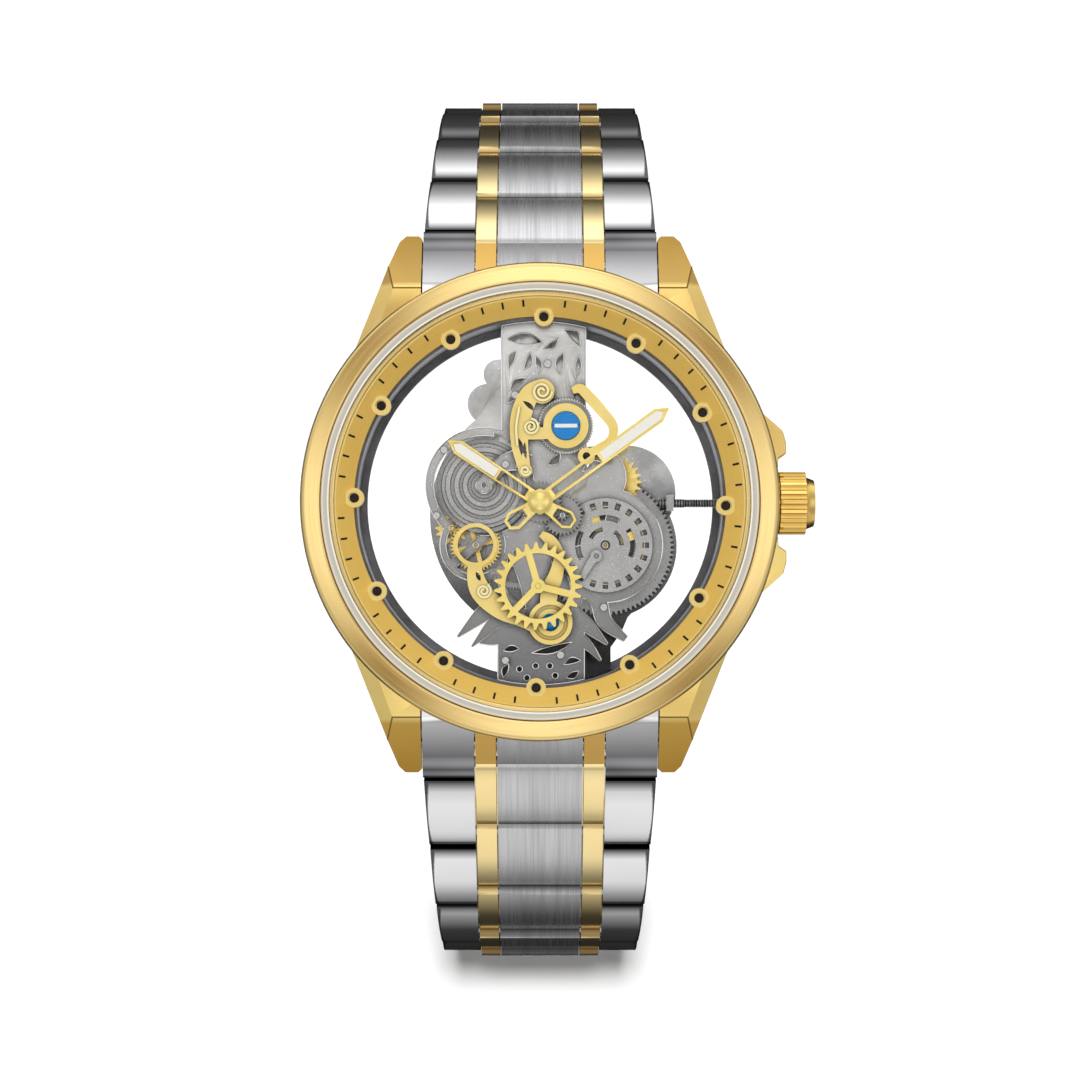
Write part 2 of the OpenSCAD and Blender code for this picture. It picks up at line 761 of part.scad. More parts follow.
module scroll_cock() {
    crescent = [[0.5, 11.2, 0.35], [-0.9, 10.1, 0.85], [-1.75, 8, 0.95], [-1.9, 5.6, 0.8], [-1.5, 3.4, 0.6],
                [-1.3, 2.5, 0.5]];
    top_scroll = [0.2, 10.3];
    tail_scroll = [-1.35, 2.95];
    relief = 0.12;
    relief_w = 0.11;
    color(gold)
        difference() {
            union() {
                slab(cock_top, cock_top + cock_t) {
                    ribbon(crescent);
                    spot(top_scroll, 1.15);
                    spot(cock_screw_pos, cock_ring_r);
                    ribbon([[-1.4, 6.6, 0.8], [0.2, 6.4, 0.55], [1.2, 6.7, 0.8]]);
                    spot(tail_scroll, 0.65);
                }
                slab(cock_top - relief, cock_top + weld) {
                    scroll(top_scroll, 0.15, 0.95, 0, 2, relief_w);
                    scroll([-0.85, 7], 0.12, 0.75, 90, 2, relief_w);
                    scroll(tail_scroll, 0.1, 0.5, 180, 1.5, relief_w);
                    ribbon([[-1.9, 8.9, relief_w], [-2.2, 7, relief_w], [-2.1, 5.2, relief_w]]);
                }
            }
            slab(cock_top - 1, cock_top + cock_t + 1) {
                spot(cock_screw_pos, cock_screw_d / 2 + 0.05);
                leaf([-1.6, 9.4], [-0.5, 8.4], 0.22, 0.1);
                leaf([-2, 6], [-1.7, 4.3], 0.2, 0.1);
                leaf([-1.4, 5.6], [-1.25, 4], 0.18, -0.1);
            }
        }
}

module swan_neck_spring() {
    neck = [[3, 10.35, 0.3], [3.75, 10.55, 0.45], [4.6, 9.75, 0.5], [5.7, 8.5, 0.5], [6.75, 7.1, 0.45],
            [6.55, 5.8, 0.4], [5.4, 5, 0.4], [4.3, 4.4, 0.4]];
    end_pos = [4.3, 4.3];
    head_pos = [3.7, 10.5];
    color(gold)
        difference() {
            union() {
                slab(cock_top + 0.05, cock_top + cock_t) {
                    ribbon(neck);
                    spot(end_pos, 0.8);
                }
                slab(cock_top + cock_t - weld, bridge_top) {
                    spot(end_pos, 0.75);
                    spot(head_pos, 0.45);
                }
            }
            slab(cock_top - 1, bridge_top + 1)
                spot(end_pos, 0.35);
        }
}

module ring_cock() {
    arm = [[-5.9, -5.3, 0.5], [-6, -6.6, 0.75], [-5.4, -8.3, 0.95], [-3.7, -9.9, 0.85], [-1.7, -10.9, 0.6],
           [0, -11.8, 0.5]];
    inner_arm = [[0.1, -2.9, 0.3], [1, -3.6, 0.55], [1.75, -4.9, 0.5], [1.5, -6.6, 0.65], [0.9, -8.2, 0.8],
                 [0.7, -9.9, 0.7]];
    feet = [[-3.3, -10], [0.9, -9.4]];
    relief = 0.1;
    relief_w = 0.11;
    groove = [1.25, 1.65];
    color(gold)
        difference() {
            union() {
                slab(cock_top, cock_top + cock_t) {
                    spot(fourth_pos, fourth_ring_r);
                    ribbon(arm);
                    ribbon(inner_arm);
                    spot(jewel_pos, jewel_ring_r);
                }
                slab(cock_top - relief, cock_top + weld)
                    scroll([-5.2, -8.2], 0.12, 0.7, 60, 2, relief_w);
                slab(cock_top + cock_t - weld, bridge_top)
                    for (f = feet) spot(f, 0.5);
            }
            slab(cock_top - 1, cock_top + cock_t + 1) {
                spot(fourth_pos, fourth_ring_r - fourth_ring_w);
                spot(jewel_pos, jewel_d / 2 + set_play);
                spot(seconds_pos, arbor_r + 0.3);
                leaf([0.6, -4.1], [1.2, -5.6], 0.2, 0.1);
                leaf([-5.9, -6.4], [-5.5, -7.3], 0.2, 0);
            }
            slab(cock_top - 1, cock_top + cock_t / 2)
                difference() {
                    spot(jewel_pos, groove[1]);
                    spot(jewel_pos, groove[0]);
                }
        }
}

module jewels()
    color(blued)
        translate([jewel_pos[0], jewel_pos[1], dial_z - cock_top - cock_t])
            rotate_extrude()
                intersection() {
                    translate([0, -0.55])
                        circle(1);
                    square([jewel_d / 2, 1]);
                }

screw_pos = concat(
    [[-8.9, 4.9], [-9.6, -1.2], [-3.2, 3.55], [5.9, -9.7], [-2.3, 10]],
    [for (p = [[0.7, 12.9], [1.9, -14.1], [-3.2, -14.6]]) near_wall(p)]
);
screw_head_r = 0.32;
screw_head_h = 0.18;

module bridge_screws()
    color(steel)
        for (p = screw_pos)
            difference() {
                slab(bridge_top - screw_head_h, bridge_top)
                    spot(p, screw_head_r);
                slab(bridge_top - 1, bridge_top - screw_head_h / 2)
                    translate(p)
                        rotate(40 * p[1])
                            square([1, 0.1], center = true);
            }

module cock_screw() {
    head_top = cock_top - 0.1;
    slot_w = 0.24;
    color(blued)
        difference() {
            union() {
                slab(head_top, bridge_top - cock_seat)
                    spot(cock_screw_pos, cock_screw_d / 2);
                slab(bridge_top - cock_seat - weld, bridge_top + bridge_t)
                    spot(cock_screw_pos, cock_screw_shank_r);
            }
            slab(head_top - 1, head_top + 0.2)
                translate(cock_screw_pos)
                    square([cock_screw_d + 1, slot_w], center = true);
        }
}

// A slot that follows a circle, from the angle 0 to the angle given
module arc_slot(from_r, to_r, angle)
    difference() {
        circle(to_r);
        circle(from_r);
        rotate(angle)
            translate([-2 * to_r, 0])
                square(4 * to_r);
        translate([-2 * to_r, -4 * to_r])
            square(4 * to_r);
    }

module barrel_bridge() {
    rim_slots = 20;
    plain_slots = [9, 11];
    disc_r = barrel_bridge_d / 2;
    color(steel)
        slab(bridge_top - cock_seat, bridge_top)
            difference() {
                spot(barrel_pos, disc_r);
                spot(barrel_pos, 0.46);
                translate(barrel_pos) {
                    for (i = [0 : rim_slots - 1])
                        if (i < plain_slots[0] || i > plain_slots[1])
                            rotate(i * 360 / rim_slots)
                                translate([disc_r - 0.65, 0])
                                    square([0.62, 0.5], center = true);
                    for (turn = [-25, 60, 150])
                        rotate(turn)
                            arc_slot(2.3, 2.8, 60);
                    for (turn = [0, 100])
                        rotate(turn)
                            arc_slot(1.3, 1.7, 55);
                }
            }
}

module bridge_clamp() {
    screw_at = [5.2, -4.95];
    clamp_t = 0.25;
    color(steel)
        difference() {
            slab(bridge_top - cock_seat - clamp_t, bridge_top - cock_seat) {
                ribbon([[screw_at[0], screw_at[1], 0.4], [4.6, -5.7, 0.35], [3.9, -7, 0.25]]);
                spot(screw_at, 0.55);
            }
            slab(0, bridge_top - cock_seat - clamp_t / 2)
                spot(screw_at, 0.25);
        }
}

// Going train and winding work

// A round arbor between two depths
module arbor(pos, r, from, to)
    slab(from, to)
        spot(pos, r);

// A thin arbor with one end in the front bridge and one in the main plate
module train_arbor(pos)
    arbor(pos, arbor_r, bridge_top + 0.1, plate_top + pivot_depth);

barrel_flange_t = 0.3;
drum_r = 4.6;
drum_wall = 0.4;

module barrel()
    color(gold)
        difference() {
            union() {
                slab(barrel_under - barrel_flange_t, barrel_under)
                    translate(barrel_pos)
                        gear_at(barrel_teeth, barrel_m, bearing(barrel_pos, [0, 0]));
                arbor(barrel_pos, drum_r, level_3, barrel_under - barrel_flange_t + weld);
            }
            slab(level_3 - 1, barrel_under - barrel_flange_t)
                spot(barrel_pos, drum_r - drum_wall);
            slab(level_3 - 1, barrel_under + 1)
                spot(barrel_pos, barrel_arbor_r + pivot_play);
        }

// A flat spiral strip, wound on points
module spiral_strip(from_r, to_r, turns, half_w) {
    steps = 24 * turns;
    path = [for (i = [0 : steps])
        let (a = 360 * turns * i / steps, r = from_r + (to_r - from_r) * i / steps)
            [r * cos(a), r * sin(a)]];
    polygon(concat(
        [for (p = path) p * (1 + half_w / norm(p))],
        [for (i = [steps : -1 : 0]) path[i] * (1 - half_w / norm(path[i]))]
    ));
}

module mainspring()
    color(steel)
        slab(level_3 + 0.1, barrel_under - barrel_flange_t - 0.05)
            translate(barrel_pos)
                spiral_strip(1, drum_r - drum_wall - 0.15, 5, 0.07);

module ratchet_wheel()
    color(gold)
        union() {
            slab(level_1, level_1 + wheel_t)
                translate(barrel_pos)
                    difference() {
                        gear_gap_at(ratchet_teeth, winding_m, bearing(barrel_pos, crown_wheel_pos));
                        spoke_windows(2.9, 1.2, 4, 0.8, 20);
                    }
            arbor(barrel_pos, barrel_arbor_r, level_1, barrel_under);
            train_arbor(barrel_pos);
        }

module crown_wheel()
    color(gold)
        slab(level_1, level_1 + wheel_t)
            translate(crown_wheel_pos)
                difference() {
                    gear_at(crown_wheel_teeth, winding_m, bearing(crown_wheel_pos, barrel_pos));
                    circle(stud_r + pivot_play);
                }

module centre_wheel()
    color(gold)
        union() {
            slab(level_2, level_2 + wheel_t)
                difference() {
                    gear_at(centre_teeth, centre_m, bearing([0, 0], third_pos));
                    spoke_windows(centre_teeth * centre_m / 2 - 0.6, 0.9, 5, 0.45, 0);
                }
            slab(barrel_under - barrel_flange_t - 0.1, barrel_under)
                gear_gap_at(centre_pinion_teeth, barrel_m, bearing([0, 0], barrel_pos));
            arbor([0, 0], centre_arbor_r, minute_top + hand_t, barrel_under);
            arbor([0, 0], arbor_r, barrel_under - weld, plate_top + pivot_depth);
        }

module third_wheel()
    color(steel)
        union() {
            slab(level_2, level_2 + wheel_t)
                translate(third_pos)
                    gear_gap_at(third_pinion_teeth, centre_m, bearing(third_pos, [0, 0]));
            slab(level_3, level_3 + wheel_t)
                translate(third_pos)
                    difference() {
                        gear_at(third_teeth, third_m, bearing(third_pos, fourth_pos));
                        spoke_windows(third_teeth * third_m / 2 - 0.5, 0.7, 4, 0.4, 10);
                    }
            train_arbor(third_pos);
        }

module fourth_wheel()
    color(gold)
        union() {
            slab(level_2, level_2 + wheel_t)
                translate(fourth_pos)
                    difference() {
                        gear_at(fourth_teeth, fourth_m, bearing(fourth_pos, escape_pos));
                        spoke_windows(fourth_teeth * fourth_m / 2 - 0.55, 0.6, 4, 0.4, 15);
                    }
            slab(level_3, level_3 + wheel_t)
                translate(fourth_pos)
                    gear_gap_at(fourth_pinion_teeth, third_m, bearing(fourth_pos, third_pos));
            train_arbor(fourth_pos);
        }

// Mesh phase of the third wheel where it meets the seconds pinion
seconds_mesh = bearing(third_pos, seconds_pos) - bearing(third_pos, fourth_pos);
seconds_step = seconds_mesh * third_teeth / 360;
seconds_phase = (seconds_step - floor(seconds_step)) * 360 / fourth_pinion_teeth;

module seconds_wheel() {
    tip_r = seconds_d / 2;
    root_r = tip_r - 0.6;
    rim_r = root_r - 0.42;
    tooth = [[-0.36, root_r], [-0.16, tip_r], [0.06, tip_r], [0.36, root_r]];
    color(gold)
        union() {
            slab(seconds_top, seconds_top + wheel_t)
                translate(seconds_pos)
                    difference() {
                        polygon([for (i = [0 : seconds_teeth - 1]) for (c = tooth)
                            let (a = (i + c[0]) * 360 / seconds_teeth) c[1] * [cos(a), sin(a)]]);
                        spoke_windows(rim_r, 0.66, 3, 0.62, 106);
                    }
            slab(level_3, level_3 + wheel_t)
                translate(seconds_pos)
                    gear_gap_at(fourth_pinion_teeth, third_m,
                                bearing(seconds_pos, third_pos) + seconds_phase);
            arbor(seconds_pos, arbor_r, seconds_top - 0.1, plate_top + pivot_depth);
        }
}

escape_tip_r = 1.6;

module escape_wheel() {
    tip_r = escape_tip_r;
    root_r = 1.15;
    tooth = [[0, root_r], [0.35, tip_r], [0.42, tip_r]];
    color(gold)
        union() {
            slab(level_2, level_2 + wheel_t)
                translate(escape_pos)
                    gear_gap_at(escape_pinion_teeth, fourth_m, bearing(escape_pos, fourth_pos));
            slab(level_3, level_3 + wheel_t)
                translate(escape_pos)
                    difference() {
                        polygon([for (i = [0 : escape_teeth - 1]) for (c = tooth)
                            let (a = (i + c[0]) * 360 / escape_teeth) c[1] * [cos(a), sin(a)]]);
                        spoke_windows(root_r - 0.2, 0.45, 4, 0.22, 0);
                    }
            train_arbor(escape_pos);
        }
}

roller_r = 0.4;
pallet_clear = 0.15;

module pallet_fork() {
    reach = escape_tip_r + pallet_clear;
    toward = bearing(escape_pos, pallet_pos);
    stones = [for (a = [-52, 52]) escape_pos + reach * [cos(toward + a), sin(toward + a)]];
    to_balance = (balance_pos - pallet_pos) / norm(balance_pos - pallet_pos);
    fork_end = balance_pos - to_balance * (roller_r + pallet_clear);
    color(steel)
        union() {
            slab(level_3, level_3 + wheel_t) {
                ribbon([[stones[0][0], stones[0][1], 0.13], [pallet_pos[0], pallet_pos[1], 0.22],
                        [stones[1][0], stones[1][1], 0.13]]);
                ribbon([[pallet_pos[0], pallet_pos[1], 0.22], [fork_end[0], fork_end[1], 0.15]]);
            }
            arbor(pallet_pos, arbor_r, level_3 - 0.1, plate_top + pivot_depth);
        }
}

module balance_wheel() {
    rim_r = balance_d / 2;
    rim_w = 0.45;
    color(gold)
        union() {
            slab(level_1, level_1 + wheel_t)
                translate(balance_pos)
                    difference() {
                        circle(rim_r);
                        spoke_windows(rim_r - rim_w, 0.6, 3, 0.5, 30);
                    }
            arbor(balance_pos, roller_r, level_3, level_3 + wheel_t);
            train_arbor(balance_pos);
        }
}

module hairspring()
    color(steel)
        slab(hairspring_top, hairspring_top + hairspring_h)
            translate(balance_pos)
                spiral_strip(arbor_r + 0.3, hairspring_r, 5, hairspring_w);

// Motion work and hands

cannon_r = 0.5;
hour_pipe_r = 0.8;
cap_h = 0.25;
cap_set = 0.08;

module cannon_pinion()
    color(steel)
        difference() {
            union() {
                arbor([0, 0], cannon_r, minute_top + cap_set + set_play, bridge_top - 0.1);
                slab(minute_wheel_top, minute_wheel_top + wheel_t)
                    gear_at(cannon_teeth, cannon_m, bearing([0, 0], minute_wheel_pos));
            }
            slab(minute_top + hand_t - set_play, bridge_top + 1)
                circle(centre_arbor_r + pin_play);
        }

module minute_wheel()
    color(gold)
        difference() {
            union() {
                slab(minute_wheel_top, minute_wheel_top + wheel_t)
                    translate(minute_wheel_pos)
                        gear_gap_at(minute_teeth, cannon_m, bearing(minute_wheel_pos, [0, 0]));
                slab(hour_wheel_top, minute_wheel_top + weld)
                    translate(minute_wheel_pos)
                        gear_gap_at(minute_pinion_teeth, hour_m, bearing(minute_wheel_pos, [0, 0]));
            }
            slab(hour_wheel_top - 1, bridge_top)
                spot(minute_wheel_pos, stud_r / 2 + pivot_play);
        }

module hour_wheel()
    color(steel)
        difference() {
            union() {
                arbor([0, 0], hour_pipe_r, hour_top, hour_wheel_top + wheel_t);
                slab(hour_wheel_top, hour_wheel_top + wheel_t)
                    gear_at(hour_teeth, hour_m, bearing([0, 0], minute_wheel_pos));
            }
            slab(hour_top - 1, bridge_top)
                circle(cannon_r + pin_play);
        }

hand_rim = 0.26;
hand_point = 1.25;
tail_len = 3.75;

// Outline of a hand that points along +x, with an open tail
module hand_outline(len) {
    half = hand_w / 2;
    polygon([[len, 0], [len - hand_point, half], [-1.2, half * 0.9],
             [-tail_len * 0.8, half * 1.3], [-tail_len, half * 0.65],
             [-tail_len, -half * 0.65], [-tail_len * 0.8, -half * 1.3],
             [-1.2, -half * 0.9], [len - hand_point, -half]]);
    circle(1.2, $fn = 6);
}

// The two slots of a hand that go right through
module hand_windows(bar_at) {
    half = hand_w / 2;
    inner = half - hand_rim;
    polygon([[1.5, inner * 0.8], [bar_at, inner], [bar_at, -inner], [1.5, -inner * 0.8]]);
    polygon([[-1.7, inner * 0.9], [-tail_len * 0.78, inner * 1.45], [-tail_len + hand_rim, inner * 0.7],
             [-tail_len + hand_rim, -inner * 0.7], [-tail_len * 0.78, -inner * 1.45], [-1.7, -inner * 0.9]]);
}

// The shallow pocket of a hand that takes the pale filling
module hand_pocket(len, bar_at) {
    inner = hand_w / 2 - hand_rim;
    polygon([[bar_at + hand_rim, inner], [len - hand_point, inner],
             [len - hand_rim * 2.6, 0], [len - hand_point, -inner],
             [bar_at + hand_rim, -inner]]);
}

module hand(len, bar_at, angle, top, hub_r)
    color(gold)
        rotate(angle)
            difference() {
                slab(top, top + hand_t)
                    hand_outline(len);
                slab(top - 1, top + hand_t + 1) {
                    hand_windows(bar_at);
                    circle(hub_r + set_play);
                }
                slab(top - 1, top + hand_t / 2)
                    hand_pocket(len, bar_at);
            }

hour_angle = 146.3;
minute_angle = 36.1;

module hour_hand()
    hand(hour_len, hour_len * 0.44, hour_angle, hour_top, hour_pipe_r);

module minute_hand() {
    hand(minute_len, minute_len * 0.46, minute_angle, minute_top, cannon_r);
    color(gold)
        turned_ring([[0, minute_top - cap_h], [0.6, minute_top - cap_h],
                     [1.05, minute_top - 0.1], [1.05, minute_top + cap_set],
                     [0, minute_top + cap_set]]);
}

// Bracelet

inner_half = centre_w / 2 + link_gap + strip_w;
ear_start = inner_half + link_gap;
ear_r = link_t / 2;
tongue_back = 2.4;
pin_inset = 0.5;

function half_width(k) = max(clasp_end_w, lug_gap - 2 * link_gap - taper * (k - 1)) / 2;

// Drills the pin holes of a link: the tongue runs on its pin, and the ears hold theirs
module pin_hole(at, r)
    translate([0, at, 0])
        rotate([0, 90, 0])
            cylinder(r = r, h = 2 * lug_gap, center = true);

// Side outline of a tongue: round about its own pin, hollow about the next one
module tongue_side(first)
    difference() {
        union() {
            intersection() {
                circle(first ? ear_r : tongue_back);
                square([2 * tongue_back, link_t], center = true);
            }
            translate([0, -ear_r])
                square([pitch, link_t]);
        }
        translate([pitch, 0])
            circle(tongue_back + link_gap);
        translate([pitch - tongue_back / 2, -link_t])
            square([pitch, 2 * link_t]);
    }

module ear_side() {
    translate([ear_r + link_gap, -ear_r])
        square([pitch - ear_r - link_gap, link_t]);
    translate([pitch, 0])
        circle(ear_r);
}

// One outer piece, tapered from one pin to the next
module link_ear(from_half, to_half)
    color(steel)
        difference() {
            intersection() {
                across(ear_start, lug_gap)
                    ear_side();
                translate([0, 0, -link_t])
                    linear_extrude(2 * link_t)
                        polygon([[0, 0], [from_half, 0], [to_half, pitch],
                                 [to_half, 2 * pitch], [0, 2 * pitch]]);
            }
            pin_hole(pitch, pin_d / 2 + set_play);
        }

module link(k) {
    first = k == 1;
    far_half = half_width(k + 1);
    for (sx = [0, 1])
        mirror([sx, 0, 0]) {
            link_ear(half_width(k), far_half);
            color(gold)
                difference() {
                    across(centre_w / 2 + link_gap, inner_half)
                        tongue_side(first);
                    pin_hole(0, pin_d / 2 + pin_play);
                }
        }
    color(steel)
        difference() {
            across(-centre_w / 2, centre_w / 2)
                tongue_side(first);
            pin_hole(0, pin_d / 2 + pin_play);
        }
    color(steel)
        translate([0, pitch, 0])
            rotate([0, 90, 0])
                cylinder(d = pin_d, h = 2 * (far_half - pin_inset), center = true);
}

// Places a link on the twelve o'clock side
module on_side(tilts, k)
    translate([0, first_pin_y + sum_run(tilts, k - 1), first_pin_z - sum_drop(tilts, k - 1)])
        rotate([-tilts[k - 1], 0, 0])
            link(k);

module link_12(k)
    on_side(tilts_12, k);

module link_6(k)
    mirror([0, 1, 0])
        on_side(tilts_6, k);

// Side outline of an end link's wing, in y and depth
module wing_side() {
    wing_top = bezel_h + 0.5;
    translate([first_pin_y, -first_pin_depth])
        circle(ear_r);
    polygon([[bore_r, -wing_top], [middle_r - 1.5, -wing_top],
             [first_pin_y, ear_r - first_pin_depth], [first_pin_y, -ear_r - first_pin_depth],
             [spring_bar_y, -spring_bar_depth - bar_cover], [bore_r, -middle_under]]);
}

// Side outline of the end link's middle, with a lip over the first tongue
module end_middle_side() {
    middle_top = bezel_h + 0.2;
    lip_y = first_pin_y + 0.2;
    lip_rise = 0.65;
    steepest = max(tilts_12[0], tilts_6[0]) + 2;
    difference() {
        polygon([[bore_r, -middle_top], [middle_r - 1, -middle_top],
                 [lip_y, ear_r + lip_rise - first_pin_depth], [lip_y, -ear_r - first_pin_depth],
                 [spring_bar_y, -spring_bar_depth - bar_cover], [bore_r, -middle_under]]);
        translate([first_pin_y, -first_pin_depth]) {
            circle(ear_r + link_gap);
            rotate(-steepest)
                translate([0, -ear_r - link_gap])
                    square([2 * pitch, link_t + 2 * link_gap]);
        }
        translate([first_pin_y, -first_pin_depth - 2 * link_t])
            square([link_t, 2 * link_t]);
    }
}

// Clears the case and the spring bar from an end link
module end_link_cuts() {
    slab(0, middle_under + 1)
        circle(middle_r + set_play);
    translate([0, spring_bar_y, dial_z - spring_bar_depth])
        rotate([0, 90, 0])
            cylinder(d = spring_bar_d + 2 * set_play, h = 2 * lug_gap, center = true);
    slab(-1, bezel_h + 0.02)
        circle(case_r + set_play);
}

module end_link() {
    for (sx = [0, 1])
        mirror([sx, 0, 0]) {
            color(steel)
                difference() {
                    translate([0, 0, dial_z])
                        across(ear_start, lug_gap / 2 - link_gap)
                            wing_side();
                    end_link_cuts();
                    translate([0, first_pin_y, first_pin_z])
                        pin_hole(0, pin_d / 2 + set_play);
                }
            color(gold)
                difference() {
                    translate([0, 0, dial_z])
                        across(centre_w / 2 + link_gap, inner_half)
                            end_middle_side();
                    end_link_cuts();
                }
        }
    color(steel)
        difference() {
            translate([0, 0, dial_z])
                across(-centre_w / 2, centre_w / 2)
                    end_middle_side();
            end_link_cuts();
        }
    color(steel)
        translate([0, first_pin_y, first_pin_z])
            rotate([0, 90, 0])
                cylinder(d = pin_d, h = lug_gap - 2 * pin_inset, center = true);
}

module end_links()
    for (sy = [0, 1])
        mirror([0, sy, 0])
            end_link();

// Clasp

cover_half = clasp_end_w / 2 + 0.9;
cover_wall = 0.7;
cover_floor = cover_t - clasp_pin_z;
wall_top = 1.4;
cover_gap = 0.4;
cover_ends = [ear_r + 0.3, clasp_len - ear_r - cover_gap];
cover_corner = 1.2;
cover_edge = 0.3;
wall_ends = [cover_ends[0] + cover_corner, cover_ends[1] - cover_corner];
blade_half = inner_half - 0.3;
fold_pin = [clasp_len - 4.6, cover_floor + 0.75];
knuckle_r = 0.7;
mid_pin = [6.2, fold_pin[1] + 0.75];
button_at = [clasp_len / 2 + 9, -0.2];

// Carries the clasp: y runs from the last pin on the six o'clock side to the one on the twelve o'clock side
module on_clasp()
    translate([0, -clasp_pin_6, clasp_pin_z])
        children();

// A pin or knuckle across the clasp
module cross_pin(at, r, half)
    translate([0, at[0], at[1]])
        rotate([0, 90, 0])
            cylinder(r = r, h = 2 * half, center = true);

// Plan of the clasp cover, with round corners
module cover_plan() {
    along = cover_ends[1] - cover_ends[0];
    translate([-cover_half, cover_ends[0] + cover_corner])
        square([2 * cover_half, along - 2 * cover_corner]);
    translate([cover_corner - cover_half, cover_ends[0]])
        square([2 * (cover_half - cover_corner), along]);
    for (sx = [-1, 1], y = [cover_ends[0] + cover_corner, cover_ends[1] - cover_corner])
        translate([sx * (cover_half - cover_corner), y])
            circle(cover_corner);
}

module clasp_cover()
    color(steel)
        on_clasp()
            difference() {
                union() {
                    intersection() {
                        across(-cover_half, cover_half)
                            polygon([[cover_ends[0], -clasp_pin_z], [cover_ends[1], -clasp_pin_z],
                                     [cover_ends[1], cover_floor - cover_edge],
                                     [cover_ends[1] - cover_edge, cover_floor],
                                     [cover_ends[0] + cover_edge, cover_floor],
                                     [cover_ends[0], cover_floor - cover_edge]]);
                        translate([0, 0, -2 * clasp_pin_z])
                            linear_extrude(4 * clasp_pin_z)
                                cover_plan();
                    }
                    for (sx = [0, 1])
                        mirror([sx, 0, 0])
                            across(cover_half - cover_wall, cover_half)
                                polygon([[wall_ends[0], cover_floor - weld],
                                         [wall_ends[1], cover_floor - weld],
                                         [wall_ends[1] - 2, wall_top], [wall_ends[0] + 2, wall_top]]);
                    across(-centre_w / 2, centre_w / 2) {
                        circle(ear_r);
                        polygon([[0, -ear_r], [ear_r + 1.5, -clasp_pin_z], [ear_r + 1.5, 0], [0, ear_r]]);
                    }
                    cross_pin(fold_pin, blade_pin_d / 2, cover_half - cover_wall / 2);
                }
                pin_hole(0, pin_d / 2 + pin_play);
                for (sx = [-1, 1])
                    translate([sx * cover_half, button_at[0], button_at[1]])
                        rotate([0, 90, 0])
                            cylinder(d = button_d + 4 * set_play, h = 4 * cover_wall, center = true);
            }

module fold_blade()
    color(steel)
        on_clasp()
            difference() {
                union() {
                    across(-blade_half, blade_half)
                        translate([mid_pin[0] + knuckle_r + 0.2, fold_pin[1] - blade_t / 2])
                            square([fold_pin[0] - mid_pin[0] - knuckle_r - 0.2, blade_t]);
                    cross_pin(fold_pin, knuckle_r, blade_half);
                    for (sx = [0, 1])
                        mirror([sx, 0, 0])
                            across(blade_half - 2, blade_half)
                                union() {
                                    translate(mid_pin)
                                        circle(knuckle_r);
                                    polygon([[mid_pin[0], mid_pin[1] - knuckle_r],
                                             [mid_pin[0] + knuckle_r + 1, fold_pin[1] - blade_t / 2],
                                             [mid_pin[0] + knuckle_r + 1, fold_pin[1] + blade_t / 2],
                                             [mid_pin[0] + 0.4, mid_pin[1] + knuckle_r - 0.2]]);
                                }
                    cross_pin(mid_pin, blade_pin_d / 2, blade_half - 0.3);
                }
                cross_pin(fold_pin, blade_pin_d / 2 + pin_play, lug_gap);
            }

module end_blade() {
    under = mid_pin[1] + 0.05;
    tip = clasp_len - pin_d / 2 - 0.35;
    color(steel)
        on_clasp()
            difference() {
                across(-blade_half + 2.1, blade_half - 2.1)
                    union() {
                        translate(mid_pin)
                            circle(knuckle_r);
                        translate([mid_pin[0], under])
                            square([tip - mid_pin[0], blade_t]);
                    }
                cross_pin(mid_pin, blade_pin_d / 2 + pin_play, lug_gap);
            }
}

// A release button in a clasp wall
module button() {
    head_t = 0.6;
    flange = 0.25;
    color(steel)
        on_clasp()
            translate([cover_half - cover_wall - 0.55, button_at[0], button_at[1]])
                rotate([0, 90, 0]) {
                    cylinder(d = button_d + 2 * flange, h = 0.5);
                    cylinder(d = button_d, h = 0.55 + cover_wall + head_t);
                }
}

module button_right()
    button();

module button_left()
    mirror([1, 0, 0])
        button();

case_body();
bezel();
crystal();
crystal_gasket();
chapter_ring();
movement_ring();
case_back();
back_crystal();
spring_bars();
crown();
stem();
crown_gasket();
end_links();
main_plate();
front_bridge();
scroll_cock();
swan_neck_spring();
ring_cock();
jewels();
bridge_screws();
cock_screw();
barrel_bridge();
barrel();
mainspring();
ratchet_wheel();
crown_wheel();
bridge_clamp();
centre_wheel();
third_wheel();
fourth_wheel();
seconds_wheel();
escape_wheel();
pallet_fork();
balance_wheel();
hairspring();
cannon_pinion();
minute_wheel();
hour_wheel();
hour_hand();
minute_hand();
clasp_cover();
fold_blade();
end_blade();
button_left();
button_right();
for (k = [1 : link_count]) {
    link_12(k);
    link_6(k);
}
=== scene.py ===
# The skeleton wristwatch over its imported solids: finishes, rounded edges, dial marks, camera and light.
import json
import math

import bmesh
import bpy
from mathutils import Matrix, Vector

